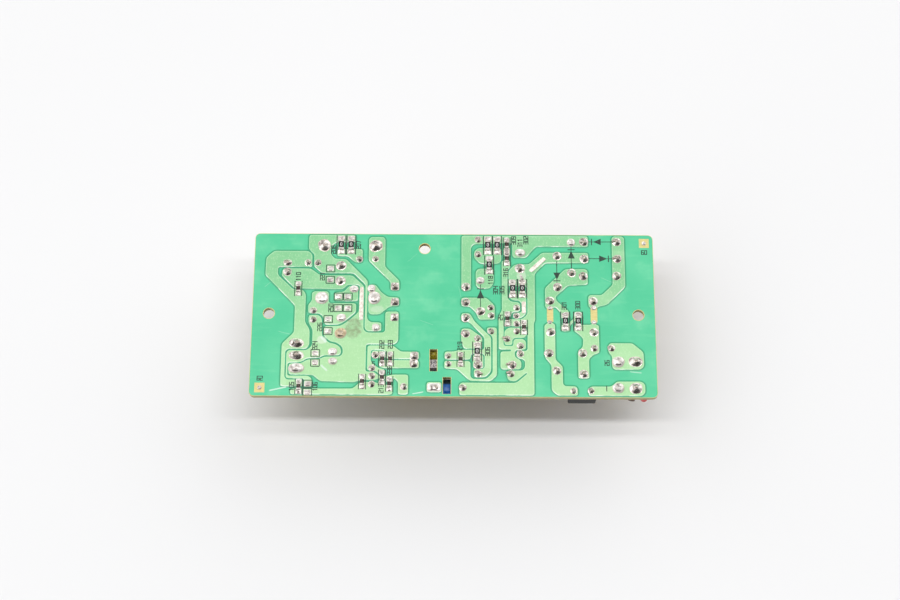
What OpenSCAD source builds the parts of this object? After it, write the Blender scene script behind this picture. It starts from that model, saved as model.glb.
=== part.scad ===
// Switch-mode power supply board.
// A single-sided printed board with its solder face up and its through-hole parts hanging below.
// It lies on the tops of its tallest parts, so z = 0 is the surface it rests on.
// The origin is on that surface, under the middle of the board. X runs along the board.

/* [Board] */
// Length of the laminate, along X
board_length = 120; // [120:1:160]
// Width of the laminate, along Y
board_width = 52; // [52:1:80]
// Thickness of the bare laminate
board_thick = 1.6; // [1:0.1:2.4]
// Radius of the laminate's four corners
corner_r = 1.5; // [0.5:0.5:3]
// Thickness of the copper foil on the solder face
copper_thick = 0.07; // [0.035:0.035:0.14]
// Radius that the etched copper's corners are rounded to
copper_corner_r = 0.7; // [0.2:0.1:1]
// Height of the tallest parts, from the laminate to the surface they rest on
headroom = 22; // [20:0.5:30]

/* [Mounting holes] */
// Diameter of the three mounting holes
mount_hole_d = 3.3; // [3:0.1:4.5]
// Distance of each end hole from its end of the board
end_hole_inset = 5; // [4:0.5:6]
// Distance of the side hole from the board's centre line, towards the output end
side_hole_offset = 8.8; // [8:0.2:10]
// Distance of the side hole from the far edge
side_hole_inset = 4.8; // [4:0.2:5]

/* [Isolation slots] */
// Width and length of the slot under the optocoupler
optocoupler_slot = [2.1, 6.9]; // [1:0.1:8]
// Width and length of the slot under the safety capacitor
safety_slot = [2.3, 5.2]; // [1:0.1:6]

/* [Leads] */
// Wire of the small parts
thin_lead_d = 0.6; // [0.5:0.05:0.7]
// Wire of the rectifiers, the bulk capacitor and the transformer pins
lead_d = 0.8; // [0.6:0.05:0.9]
// Wire of the output diodes
thick_lead_d = 1.2; // [1:0.1:1.3]
// Room round a lead in its drilled hole
drill_clearance = 0.15; // [0.1:0.05:0.2]
// Gap between curved faces that fit one inside the other
fit_gap = 0.04; // [0.02:0.01:0.08]

/* [Transformer] */
// Distance between the two rows of pins
transformer_rows = 21.1; // [20:0.1:22]
// Distance from one pin to the next in a row
transformer_pitch = 5; // [4.5:0.1:5.1]
// Size of the closed ferrite core: along X, along Y, and its thickness
core_size = [25.6, 25.4, 7]; // [6:0.1:28]
// Width of each outer leg
core_leg = 3.3; // [3:0.1:4]
// Thickness of the back of each core half
core_back = 3.2; // [2.8:0.1:3.6]
// Thickness of the tape round the core
core_tape = 0.2; // [0.1:0.05:0.3]

/* [Bulk capacitor] */
// Diameter over the sleeve
bulk_d = 13; // [10:0.5:14]
// Distance between the leads
bulk_pitch = 5; // [4:0.5:5.5]
// Thickness of every capacitor's shrink sleeve
sleeve_thick = 0.2; // [0.15:0.05:0.3]

/* [Output capacitors] */
// Diameter of the two output capacitors over the sleeve
output_cap_d = 10; // [8:0.5:10]
// Distance between their leads
output_cap_pitch = 5; // [4:0.1:5]
// Diameter of the two filter capacitors
filter_cap_d = 8; // [6:0.5:8]
// Height of the two filter capacitors
filter_cap_h = 12; // [9:0.5:18]
// Distance between their leads
filter_cap_pitch = 3; // [2.5:0.1:3.5]
// Diameter of the small supply capacitor
supply_cap_d = 5; // [4:0.5:6]
// Height of the small supply capacitor
supply_cap_h = 11; // [8:0.5:14]
// Distance between its leads
supply_cap_pitch = 2.4; // [2:0.1:2.6]

/* [Mains parts] */
// Pin grid of the mains choke, along X and Y
choke_grid = [12.9, 10.1]; // [9:0.1:14]
// Side of the square ferrite bar of the mains choke
choke_bar = 5; // [4:0.1:5.4]
// Length, width and height of a suppression capacitor's case
box_size = [12.4, 6, 12]; // [5:0.1:14]
// Distance between its leads
box_pitch = 10.1; // [9:0.1:10.5]
// Length, width and height of the fuse
fuse_size = [8.2, 4, 3.6]; // [3:0.1:8.5]
// Distance between the fuse's leads
fuse_pitch = 5.1; // [4.5:0.1:5.5]
// Diameter and thickness of the inrush thermistor
thermistor_size = [8.4, 4.2]; // [3:0.1:9]
// Distance between its leads
thermistor_pitch = 5; // [4.5:0.1:5.5]
// Diameter and thickness of the varistor
varistor_size = [10.5, 4.2]; // [3:0.1:11]
// Distance between its leads
varistor_pitch = 8; // [7:0.1:8.5]

/* [Diodes] */
// Diameter and length of a rectifier's body
rectifier_size = [2.7, 5.2]; // [2:0.1:6]
// Distance between the rectifiers' holes
rectifier_pitch = 10; // [9:0.1:11]
// Diameter and length of an output diode's body
output_diode_size = [5, 9.4]; // [4:0.1:10]
// Distance between the output diodes' holes
output_diode_pitch = 15.6; // [15:0.1:16.5]

/* [Small parts] */
// Diameter and thickness of the blue safety capacitor
safety_cap_size = [8.2, 2.8]; // [2:0.1:10]
// Distance between its leads
safety_cap_pitch = 7.5; // [7:0.1:8]
// Diameter and thickness of a ceramic disc capacitor
disc_cap_size = [6, 2.6]; // [2:0.1:7]
// Distance between its leads
disc_cap_pitch = 4.9; // [4.5:0.1:5.2]
// Length, width and height of the control chip's body
control_chip_size = [9.4, 6.3, 3.3]; // [3:0.1:10]
// Distance between its rows of legs
control_chip_rows = 7.62; // [7.4:0.01:7.8]
// Length, width and height of the optocoupler's body
optocoupler_size = [4.6, 6.4, 3.4]; // [3:0.1:7]
// Distance between its rows of legs
optocoupler_rows = 10.16; // [9.8:0.01:10.4]
// Distance between legs in one row of a chip
leg_pitch = 2.54; // [2.5:0.01:2.6]
// Distance between the legs of the three-leg regulator
regulator_pitch = 2.5; // [2.3:0.01:2.6]
// Diameter and height of an output choke
output_choke_size = [5.6, 8]; // [4:0.1:10]
// Distance between its leads
output_choke_pitch = 3; // [2.6:0.1:3.2]
// Distance between the output header's pins
header_pitch = 3.96; // [3.9:0.01:4.1]
// Side of a square header pin
header_pin = 1.1; // [0.8:0.05:1.2]
// Length of the header's pins above the laminate
header_pin_h = 12; // [9:0.5:13]
// Diameter of the input wires over the insulation
input_wire_d = 2.1; // [1.6:0.1:2.4]

/* [Chips on the solder face] */
// Length, width and thickness of the large chip resistors
large_chip = [3.2, 1.6, 0.6]; // [0.5:0.1:3.6]
// Length, width and thickness of the small chips
small_chip = [2, 1.25, 0.5]; // [0.4:0.05:2.4]
// How far a chip's solder land runs past its end
land_run = 1.3; // [0.6:0.1:1.4]

/* [Hidden] */
$fn = 32;

// The layout is drawn from its own near left corner and then centred on the board
layout_length = 120;
layout_width = 52;
solder_z = headroom + board_thick;
copper_z = solder_z + copper_thick;
lead_up = board_thick + copper_thick;

// Where each part stands in the layout: x, y and the direction of its row of pins
bulk_place = [79.9, 43.4, 90];
output_cap_places = [[26.1, 39, 90], [26.5, 22.2, 90]];
filter_cap_places = [[10.1, 40.9, 90], [24.3, 12.4, 90]];
supply_cap_place = [79.8, 14.8, 90];
output_choke_places = [[17.6, 42.4, 0], [18.2, 25.6, 90]];
transformer_place = [53, 27.4, 0];
choke_place = [95.2, 25.4, 0];
box_places = [[93.2, 13.8, 0], [103.8, 38.5, 0]];
fuse_place = [97.9, 2, 0];
thermistor_place = [104.2, 15.4, 0];
varistor_place = [94.4, 7.8, -8];
rectifier_places = [[104.1, 49.6, 0], [104.1, 44.1, 0], [95.3, 44.4, 90], [91, 39.9, 90],
    [68, 31.9, 90], [72.2, 10, 0]];
output_diode_places = [[28.7, 48, 0], [28.5, 31, 0]];
safety_cap_place = [59, 2.9, 0];
disc_cap_places = [[34, 43.7, 0], [67.3, 47.8, 90]];
axial_place = [71.5, 18.3, 0];
axial_pitch = 8.7;
control_chip_place = [74.9, 24.4, 90];
optocoupler_place = [53.4, 11.5, 90];
regulator_place = [36, 6.3, 90];
header_place = [13.6, 12.6, 90];
jumpers = [[[36.9, 17.3, 90], 8.6], [[49.3, 3.1, 0], 7.8], [[72.1, 7.2, 0], 9.8]];
input_wire_holes = [[113.7, 2.9], [113.8, 11.2]];
solder_filled_holes = [[108.4, 2.9], [108.6, 11.2], [30.2, 33.9], [35.4, 34]];
optocoupler_slot_place = [54.1, 11.4];
safety_slot_place = [58.1, 3.5];

// Chips on the solder face, all with their length along Y
large_chip_places = [[26, 48.3], [29, 48.3], [70.2, 48.3], [73, 48.3], [70.6, 41.9],
    [77.6, 34.3], [80.5, 34.3], [93.2, 23.9], [97, 23.9], [67, 14.2]];
small_chip_places = [[13.5, 34], [75.9, 48.6], [75.9, 44], [62.1, 11.7], [76, 24.6], [80.9, 21.9],
    [14.6, 3], [39, 11.7], [41.3, 11.7], [33.2, 4.6], [39, 5.9], [41.2, 3.9]];
// Pairs of bare lands for chips that were left out: middle, and the distance between the lands
empty_chip_places = [[23, 38.7, 3.7], [22.7, 22.3, 3.8], [25.6, 29.6, 3.7], [28.4, 29.6, 3.7],
    [19.2, 11.9, 3], [17.2, 2.5, 2.6]];
empty_land = [2.1, 1.8];

// Strips of track that were left bare and thickened with solder: start, end and width
tinned_strips = [[[32.5, 34.6], [32.5, 23.9], 1], [[82.9, 39.9], [87.4, 44.3], 1.1],
    [[80.9, 30.2], [80.9, 26.3], 0.9]];
strip_thick = 0.35;
land_thick = 0.12;

// Small helpers

function step(a, b) = b - a;
function unit(v) = v / norm(v);

// Both pins of a part, from its place and the distance between them
function pair(place, pitch) = [for (side = [-1, 1])
    [place[0] + side * pitch / 2 * cos(place[2]), place[1] + side * pitch / 2 * sin(place[2])]];
function pairs(places, pitch) = [for (place = places) each pair(place, pitch)];

// Legs of a part with two rows: the rows are apart along X, the legs follow along Y
function grid(place, rows, pitch, left, right) = [for (side = [-1, 1])
    for (i = side < 0 ? left : right) [place[0] + side * rows / 2, place[1] + i * pitch]];

// A corner of an outline, replaced by a short curve between its two edges
function bend(a, b, c, r) =
    let (ab = norm(step(b, a)), bc = norm(step(b, c)), reach = min(r, ab * 0.45, bc * 0.45),
         p = b + unit(step(b, a)) * reach, q = b + unit(step(b, c)) * reach)
    [for (t = [0, 0.5, 1]) (1 - t) * (1 - t) * p + 2 * t * (1 - t) * b + t * t * q];
function softened(points, r) =
    let (n = len(points))
    [for (i = [0 : n - 1]) each bend(points[(i + n - 1) % n], points[i], points[(i + 1) % n], r)];

// A rectangle with true quarter-round corners, centred
function rounded_box(size, r, steps = 4) =
    [for (corner = [0 : 3])
        let (sx = corner == 0 || corner == 3 ? 1 : -1, sy = corner < 2 ? 1 : -1)
        for (i = [0 : steps])
            let (a = corner * 90 + 90 * i / steps)
            [sx * (size[0] / 2 - r) + r * cos(a), sy * (size[1] / 2 - r) + r * sin(a)]];

// Half of a dipped disc's section: a band round its rim, then rounded shoulders up to its axis
function lens(d, thick, steps = 3) =
    let (band = 0.34 * thick, shoulder = (thick - band) / 2)
    [for (i = [-steps : steps])
        if (i != 0)
            let (a = 90 * (abs(i) - 1) / (steps - 1))
            [abs(i) == steps ? 0 : d / 2 - 1.3 * shoulder * (1 - cos(a)),
                sign(i) * (band / 2 + shoulder * sin(a))]];

// Turns a part upside down and hangs it from the laminate: its own z runs away from the board
module hang(place) {
    translate([place[0] - layout_length / 2, place[1] - layout_width / 2, headroom])
        rotate([180, 0, 0])
            rotate([0, 0, -place[2]])
                children();
}

// Places something on the solder face, at a height
module on_face(point, z) {
    translate([point[0] - layout_length / 2, point[1] - layout_width / 2, z])
        children();
}

// A round bar along Z between two heights
module bar(d, from, to) {
    translate([0, 0, from])
        cylinder(d = d, h = to - from);
}

// A box centred on X and Y between two heights
module block(size, from, to) {
    translate([-size[0] / 2, -size[1] / 2, from])
        cube([size[0], size[1], to - from]);
}

// Two straight leads that run from the copper into a part
module straight_leads(pitch, d, into) {
    for (side = [-1, 1])
        translate([side * pitch / 2, 0, 0])
            bar(d, -lead_up, into);
}

// Two leads that rise from their holes, bend over and run into the ends of a lying body
module bent_leads(pitch, d, axis_z, gap) {
    turn = min(d * 1.5, axis_z * 0.8);
    for (side = [0, 1])
        mirror([side, 0, 0]) {
            translate([pitch / 2, 0, 0])
                bar(d, -lead_up, axis_z - turn);
            translate([pitch / 2 - turn, 0, axis_z - turn])
                rotate([90, 0, 0])
                    rotate_extrude(angle = 90)
                        translate([turn, 0])
                            circle(d = d);
            translate([gap / 2, 0, axis_z])
                rotate([0, 90, 0])
                    cylinder(d = d, h = pitch / 2 - turn - gap / 2);
        }
}

// A staple of wire whose back lies close to the laminate
jumper_z = 1.2;
module jumper(pitch) {
    bent_leads(pitch, thin_lead_d, jumper_z, 0);
}

// A lying body on the axis of its leads, with its ends rounded off
module axial_body(size, axis_z) {
    round_end = size[0] * 0.14;
    translate([-size[1] / 2, 0, axis_z])
        rotate([0, 90, 0])
            rotate_extrude()
                polygon([[0, 0], [size[0] / 2 - round_end, 0], [size[0] / 2, round_end],
                    [size[0] / 2, size[1] - round_end], [size[0] / 2 - round_end, size[1]],
                    [0, size[1]]]);
}

// A coated disc that stands on its edge over its two leads
module standing_disc(size, foot) {
    translate([0, size[1] / 2, foot + size[0] / 2])
        rotate([90, 0, 0])
            translate([0, 0, size[1] / 2])
                rotate_extrude()
                    polygon(lens(size[0], size[1]));
}

// All pins that come through the board: their points, their wire and their solder joint
drilled = [
    [pair(bulk_place, bulk_pitch), lead_d, 2.8],
    [pairs(output_cap_places, output_cap_pitch), thin_lead_d, 2.8],
    [pairs(filter_cap_places, filter_cap_pitch), thin_lead_d, 2.4],
    [pair(supply_cap_place, supply_cap_pitch), thin_lead_d, 2.2],
    [pairs(output_choke_places, output_choke_pitch), thin_lead_d, 2.1],
    [grid(transformer_place, transformer_rows, transformer_pitch, [-0.5, 0.5, 1.5],
        [-1.5, -0.5, 0.5, 1.5]), lead_d, 2.4],
    [grid(choke_place, choke_grid[0], choke_grid[1], [-0.5, 0.5], [-0.5, 0.5]), lead_d, 2.5],
    [pairs(box_places, box_pitch), lead_d, 2.5],
    [pair(fuse_place, fuse_pitch), thin_lead_d, 2],
    [pair(thermistor_place, thermistor_pitch), thin_lead_d, 2.2],
    [pair(varistor_place, varistor_pitch), lead_d, 2.4],
    [pairs(rectifier_places, rectifier_pitch), lead_d, 2.5],
    [pairs(output_diode_places, output_diode_pitch), thick_lead_d, 3.8],
    [pair(safety_cap_place, safety_cap_pitch), thin_lead_d, 2.2],
    [pairs(disc_cap_places, disc_cap_pitch), thin_lead_d, 2.1],
    [pair(axial_place, axial_pitch), thin_lead_d, 2.1],
    [grid(control_chip_place, control_chip_rows, leg_pitch, [-1.5, 0.5, 1.5],
        [-1.5, -0.5, 0.5, 1.5]), thin_lead_d, 2],
    [grid(optocoupler_place, optocoupler_rows, leg_pitch, [-0.5, 0.5], [-0.5, 0.5]), thin_lead_d, 1.9],
    [[for (i = [-1 : 1]) [regulator_place[0], regulator_place[1] + i * regulator_pitch]],
        thin_lead_d, 2.1],
    [[for (i = [-1 : 1]) [header_place[0], header_place[1] + i * header_pitch]],
        header_pin * sqrt(2), 3.1],
    [[for (j = jumpers) each pair(j[0], j[1])], thin_lead_d, 2.2],
    [input_wire_holes, lead_d * 1.5, 3.8],
    [solder_filled_holes, lead_d, 2.4]
];

// Outlines of the copper, each named for what it carries

first_output = [[3.5, 38.4], [3.6, 44], [5.9, 46.2], [16.3, 46.2], [17.4, 45], [17.4, 41.1],
    [7.2, 41.1], [7.2, 38.4], [12, 33.7], [14.9, 33.6], [15.8, 32.2], [15.8, 23.3], [17.3, 20.8],
    [17.3, 15.9], [16.4, 14.8], [11, 14.8], [10.3, 14.1], [10.3, 5.9], [11, 5.1], [15.8, 5.1],
    [15.8, 3.1], [9.2, 3.1], [9.2, 16.3], [12.7, 20], [12.7, 28.6]];
second_output = [[10.7, 13.6], [11.3, 14.3], [16.6, 14.3], [18.2, 15.8], [18.2, 20.9], [16.9, 23.2],
    [16.9, 25.5], [19.8, 25.5], [20.8, 24.5], [21, 18.8], [23.1, 16.7], [25.1, 16.3], [26.6, 15.2],
    [26.8, 13.6], [26.2, 12.9], [21.7, 12.8], [20.1, 12], [16.7, 11.9], [15, 10.6], [11.1, 10.5],
    [11.1, 6.3], [17.3, 6.3], [18.4, 5.4], [18.4, 3.1], [16.2, 3.1], [16.2, 5.5], [10.7, 5.6]];
first_rectified = [[16.3, 47], [16.3, 51.5], [30.3, 51.5], [30.3, 49.3], [24.8, 49.3], [23.5, 48.5],
    [22.9, 47.2], [22.9, 45.2], [24.2, 43.7], [27.6, 43.6], [34.2, 36.6], [34.2, 24.4], [35.2, 23.3],
    [38.5, 23.2], [38.5, 20.6], [34.4, 20.5], [33.6, 21.3], [33.6, 35.4], [30, 39.1], [20.4, 39.1],
    [18, 41.4], [18, 45.2], [17, 46.1]];
second_rectified = [[16.7, 26.2], [16.7, 29], [17.7, 30], [17.7, 32.6], [18.3, 33.1], [22.2, 33.1],
    [22.7, 32.5], [22.7, 29.3], [30.9, 29.3], [30.9, 26.6], [28.6, 24.5], [26.2, 22.6], [21.7, 22.5],
    [21.3, 24.9], [20.2, 26.1]];
spare_capacitor_land = [[24.4, 30.1], [24.4, 32.8], [27.2, 33], [28.7, 34.9], [30.9, 34.9],
    [31.4, 34.3], [31.4, 30.1]];
output_ground = [[8.8, 40.5], [17, 40.5], [19.9, 38.3], [29.6, 38.3], [33.2, 34.8], [33.2, 21],
    [34.2, 20], [39.1, 20], [39.7, 20.6], [39.7, 26.7], [43.6, 26.7], [43.6, 17.5], [42.6, 16.4],
    [34.1, 16.4], [34.1, 7.7], [36.6, 7.7], [38.1, 6.4], [40, 6.3], [42.2, 6.8], [46.7, 6.8],
    [46.7, 0.7], [43.8, 0.7], [43.8, 4.8], [42.4, 6], [42.2, 4.6], [40.1, 4.6], [40, 5.5],
    [37.8, 5.6], [36.9, 5.1], [32.6, 5.2], [31, 4.4], [20.8, 4.7], [18.8, 6.6], [11.5, 6.8],
    [11.5, 10.1], [15.1, 10.2], [16.9, 11.4], [20.3, 11.5], [21.9, 12.3], [26.5, 12.4], [27.3, 13.3],
    [27.2, 15.4], [25.5, 16.8], [23.4, 17.2], [21.5, 19], [21.5, 21.9], [26.5, 22.1], [29, 23.9],
    [31.8, 26.6], [31.9, 35.3], [28.3, 35.4], [26.9, 33.9], [12.4, 34.1], [8.3, 38.4]];
sense_strip = [[12.2, 0.6], [12.2, 2.3], [30.5, 2.4], [32.6, 4.4], [36.9, 4.5], [38.1, 3.9],
    [38.1, 5.2], [39.7, 5.2], [39.9, 3.6], [42.1, 3.6], [42.1, 0.6]];
first_winding_end = [[34.4, 43.3], [34.4, 50.2], [35, 50.9], [38.7, 50.9], [39.3, 50.2], [39.3, 41.2],
    [43.7, 36.6], [43.7, 33.7], [41.1, 33.7], [41.1, 36.3]];
second_winding_end = [[34.6, 26.6], [34.6, 34.5], [35.3, 35.3], [36.6, 35.3], [38.3, 32.9],
    [40.3, 31.4], [43.7, 31.2], [43.7, 28.6], [41, 28.5], [38, 25.9], [35.3, 25.8]];
snubber_land = [[24.9, 44.7], [24.9, 46.9], [32.5, 46.9], [32.5, 42.6], [30.3, 42.6], [28.2, 44.7]];
regulator_strip = [[34.6, 8.1], [34.6, 15.9], [42.1, 15.9], [44.4, 14], [49.8, 14], [49.8, 11.8],
    [40.3, 11.8], [40.3, 13.3], [39.4, 14.6], [35.6, 14.6], [35.6, 10.8], [37.9, 8.8], [39.7, 8.5],
    [39.7, 6.8], [38.3, 6.8], [37, 8.1]];
light_feed = [[35.9, 12.6], [35.9, 14.3], [39.3, 14.3], [40, 13.2], [40, 12.3], [37, 11.9]];
light_strip = [[38.1, 9.1], [38.1, 11.3], [49.8, 11.3], [49.8, 8.9], [40, 8.9]];
safety_land = [[52.2, 1.5], [52.2, 4.5], [56.5, 4.5], [56.5, 1.5]];
mains_positive = [[62.3, 33.7], [62.3, 51.5], [100.4, 51.5], [100.4, 48.1], [84.7, 48.1],
    [81.6, 44.4], [78.1, 44.4], [77.6, 45], [77.6, 49.2], [65.9, 48.8], [65.1, 47.8], [65.1, 33.7]];
start_middle_land = [[74.9, 45], [74.9, 47.7], [76.9, 47.7], [76.9, 45]];
clamp_island = [[66.1, 44.2], [66.1, 46.3], [67.2, 47.4], [74.2, 47.4], [74.2, 43.2], [73.3, 42.4],
    [67.9, 42.4]];
clamp_diode_island = [[66.6, 35.4], [66.6, 39.8], [67.4, 40.7], [71.9, 40.7], [71.9, 36],
    [70.7, 34.3], [67.6, 34.3]];
drain_island = [[62.3, 28.6], [62.3, 31.3], [69.7, 31.3], [72.2, 28.8], [72.2, 24.5], [67.6, 24.3],
    [66.7, 26.6], [64.8, 28.6]];
feedback_track = [[57.3, 8.9], [57.3, 11.2], [65, 11.1], [65, 6.3], [65.7, 5.6], [69.7, 5.6],
    [71.6, 7.6], [71.6, 18.9], [69.9, 20.4], [69.9, 21.8], [72.8, 21.8], [72.8, 6.8], [71, 5],
    [64.9, 5], [61.1, 8.7]];
quiet_ground = [[57.4, 11.7], [57.4, 14.1], [60.1, 14.1], [61.9, 14.7], [68.6, 14.7], [69.1, 15.2],
    [69.1, 18.8], [65.3, 22.9], [64.4, 23.7], [62.3, 23.7], [62.3, 26.3], [64.8, 26.3], [66.2, 23.7],
    [71.1, 18.7], [71.1, 8.1], [69.5, 6.3], [66.1, 6.1], [66, 8.6], [68.7, 8.7], [69.2, 9.3],
    [69.2, 13], [68.6, 13.6], [65.2, 13.6], [65, 11.7]];
supply_winding_land = [[62.3, 17.5], [62.3, 21.4], [64.8, 21.4], [68.5, 18.6], [68.5, 15.2],
    [63.1, 15.1]];
supply_diode_land = [[65.8, 9.2], [65.8, 13.2], [68.8, 13.2], [68.8, 9.3], [68.3, 9]];
supply_track = [[74.4, 27.3], [74.4, 43.4], [76.9, 43.4], [76.9, 41.2], [76.1, 40.4], [76, 31.3],
    [77, 30.1], [79.2, 29.9], [79.8, 29.3], [79.8, 27.1], [77.3, 26.8], [77.1, 25.4], [74.9, 25.4],
    [74.8, 16], [77.7, 15.9], [77.8, 17.7], [78.3, 18.2], [80.6, 18.2], [81.4, 17.4], [81.4, 14.9],
    [78.5, 14.8], [78.1, 14.2], [78.1, 12.5], [79.6, 11.6], [80, 10.8], [80, 9.3], [79.4, 8.7],
    [74.4, 8.7], [73.9, 9.3], [73.9, 14.2], [77, 14.3], [77, 14.9], [73.4, 15], [73.4, 25.4]];
sense_island = [[76.6, 33.4], [81.6, 33.4], [81.6, 26.4], [80.1, 24.9], [77.7, 24.9], [77.7, 26.4],
    [80.3, 26.7], [80.3, 29.7], [79.5, 30.5], [77.3, 30.7], [76.6, 31.7]];
feedback_land = [[75.1, 16.3], [75.1, 20.7], [76.3, 21.8], [81.6, 21.8], [81.6, 19.3], [80.8, 18.6],
    [78.1, 18.6], [77.4, 18], [77.4, 16.3]];
mains_negative = [[76.4, 35.2], [76.4, 40.1], [78.3, 42.1], [82.6, 42.2], [86.5, 46], [100.4, 46],
    [100.4, 42.8], [87.4, 42.7], [84.2, 39.2], [84.2, 24.2], [83.8, 23.2], [83.8, 0.6], [61.8, 0.6],
    [61.8, 3.8], [62.4, 4.4], [78.5, 4.4], [81.8, 7.3], [81.5, 7.6], [78.3, 4.9], [76.2, 5.2],
    [75.6, 7.5], [76.4, 8.2], [80.3, 8.3], [81.1, 9.2], [81.1, 11.7], [79.3, 12.2], [78.6, 12.9],
    [78.6, 13.9], [79.2, 14.4], [81.9, 14.5], [82, 22.3], [75.2, 22.4], [75.2, 24.5], [80.4, 24.5],
    [82, 26.1], [82, 35.2]];
choke_rectifier_side = [[87.3, 28.3], [87.3, 34.5], [93.4, 40.7], [99.5, 40.7], [100.1, 40.1],
    [100.1, 35.8], [94.1, 35.4], [90.4, 31.8], [90.6, 30.5], [94.3, 27.1], [94.3, 24.9], [92, 24.9],
    [91.9, 26.8], [90.2, 28.7], [88.7, 27.6]];
discharge_link = [[92, 20.8], [92, 22.9], [93.8, 22.9], [95.9, 25], [95.9, 27], [98.2, 27],
    [98.2, 25], [96.6, 24.7], [94.5, 22.6], [94.5, 20.8]];
live_track = [[87, 22.7], [87, 12.6], [88.9, 10.2], [88.9, 2.2], [90.7, 0.6], [96.5, 0.6], [96.5, 2.7],
    [95.9, 3.4], [92.8, 3.5], [92.2, 4.1], [92.2, 9.6], [90.1, 11.7], [90.1, 22.9], [89.3, 23.3],
    [88.7, 24.4], [88.1, 23.3]];
neutral_track = [[95.9, 20.7], [95.9, 22.8], [101.1, 22.8], [101.7, 24.4], [102.3, 22.8],
    [103.1, 22.6], [103.1, 14], [101.5, 13.5], [100, 12.1], [100, 6], [96.8, 6], [96.8, 14.4],
    [98.3, 15.8], [98.4, 18.6], [96.6, 20.4]];
choke_bridge_side = [[100.2, 28.7], [100.2, 31.8], [100.7, 32.3], [104.2, 32.3], [107.6, 35.7],
    [107.6, 50.9], [108.2, 51.5], [110.7, 51.5], [111.3, 50.9], [111.3, 35.1], [105.7, 29.3],
    [103.2, 28.7], [101.7, 27.5]];
live_input = [[99.7, 0.6], [99.7, 2.6], [100.5, 3.4], [106.4, 3.4], [108.1, 5], [115.3, 5],
    [116.3, 4.1], [116.3, 1.5], [115.3, 0.6]];
neutral_input = [[105.8, 14.1], [105.8, 16.3], [106.4, 17], [112.9, 17], [116.1, 14.2], [116.2, 9.8],
    [115.1, 8.8], [107.5, 8.8], [106.8, 9.6], [106.8, 13.1]];
islands = [first_output, second_output, first_rectified, second_rectified, spare_capacitor_land,
    output_ground, sense_strip, first_winding_end, second_winding_end, snubber_land,
    regulator_strip, light_feed, light_strip, safety_land, mains_positive, start_middle_land,
    clamp_island, clamp_diode_island, drain_island, feedback_track, quiet_ground,
    supply_winding_land, supply_diode_land, supply_track, sense_island, feedback_land,
    mains_negative, choke_rectifier_side, discharge_link, live_track, neutral_track,
    choke_bridge_side, live_input, neutral_input];

// The printed board

// The holes that the leads pass through
module drills(from, to) {
    for (group = drilled, point = group[0])
        on_face(point, 0)
            bar(group[1] + 2 * drill_clearance, from, to);
}

module board() {
    side_hole = [-side_hole_offset, board_width / 2 - side_hole_inset];
    color("darkkhaki")
        difference() {
            translate([0, 0, headroom])
                linear_extrude(board_thick)
                    polygon(rounded_box([board_length, board_width], corner_r));
            drills(headroom - 1, solder_z + 1);
            for (side = [-1, 1])
                translate([side * (board_length / 2 - end_hole_inset), 0, 0])
                    bar(mount_hole_d, headroom - 1, solder_z + 1);
            translate([side_hole[0], side_hole[1], 0])
                bar(mount_hole_d, headroom - 1, solder_z + 1);
            on_face(optocoupler_slot_place, 0)
                block(optocoupler_slot, headroom - 1, solder_z + 1);
            on_face(safety_slot_place, 0)
                block(safety_slot, headroom - 1, solder_z + 1);
        }
}

module copper_tracks() {
    color("darkseagreen")
        difference() {
            for (outline = islands)
                on_face([0, 0], solder_z)
                    linear_extrude(copper_thick)
                        polygon(softened(outline, copper_corner_r));
            drills(solder_z - 1, copper_z + 1);
        }
}

// A solder land: a thin coat of solder on the copper
module land(size) {
    block(size, 0, land_thick);
}

module tinned_areas() {
    color("gainsboro") {
        for (strip = tinned_strips) {
            run = step(strip[0], strip[1]);
            on_face((strip[0] + strip[1]) / 2, copper_z)
                rotate([0, 0, atan2(run[1], run[0])])
                    block([norm(run), strip[2]], 0, strip_thick);
        }
        for (place = empty_chip_places, side = [-1, 1])
            on_face([place[0], place[1] + side * place[2] / 2], copper_z)
                land(empty_land);
    }
}

// A joint: a cone of solder that climbs the end of its lead
module solder_joint(d, wire_d) {
    r = d / 2;
    tip = min(wire_d / 2, r * 0.5);
    h = 0.45 + 0.3 * d;
    rotate_extrude()
        polygon([[0, 0], [r, 0], [r * 0.78, h * 0.4], [tip, h], [0, h]]);
}

module solder_joints() {
    color("silver") {
        for (group = drilled, point = group[0])
            on_face(point, copper_z)
                solder_joint(group[2], group[1]);
        for (point = solder_filled_holes)
            on_face(point, headroom)
                bar(lead_d, 0, lead_up);
    }
}

// The wedge of solder at each end of a chip
module chip_fillets(size) {
    for (side = [0, 1])
        mirror([0, side, 0])
            translate([-size[1] * 0.62, size[0] / 2, 0])
                rotate([90, 0, 90])
                    linear_extrude(size[1] * 1.24)
                        polygon([[0, 0], [land_run, 0], [land_run, 0.1], [land_run * 0.55, 0.22],
                            [0, size[2] * 0.9]]);
}

module chip_solder() {
    color("lightgray") {
        for (place = large_chip_places)
            on_face(place, copper_z)
                chip_fillets(large_chip);
        for (place = small_chip_places)
            on_face(place, copper_z)
                chip_fillets(small_chip);
    }
}

// A chip's plated ends are a fifth of its length
function cap_length(size) = size[0] * 0.2;

module chip_body(size) {
    block([size[1], size[0] - 2 * cap_length(size)], 0, size[2]);
}

module chip_ends(size) {
    for (side = [-1, 1])
        translate([0, side * (size[0] - cap_length(size)) / 2, 0])
            block([size[1], cap_length(size)], 0, size[2]);
}

module large_chip_bodies() {
    color("dimgray")
        for (place = large_chip_places)
            on_face(place, copper_z)
                chip_body(large_chip);
}

module large_chip_ends() {
    color("gainsboro")
        for (place = large_chip_places)
            on_face(place, copper_z)
                chip_ends(large_chip);
}

module small_chip_bodies() {
    color("dimgray")
        for (place = small_chip_places)
            on_face(place, copper_z)
                chip_body(small_chip);
}

module small_chip_ends() {
    color("gainsboro")
        for (place = small_chip_places)
            on_face(place, copper_z)
                chip_ends(small_chip);
}

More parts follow.
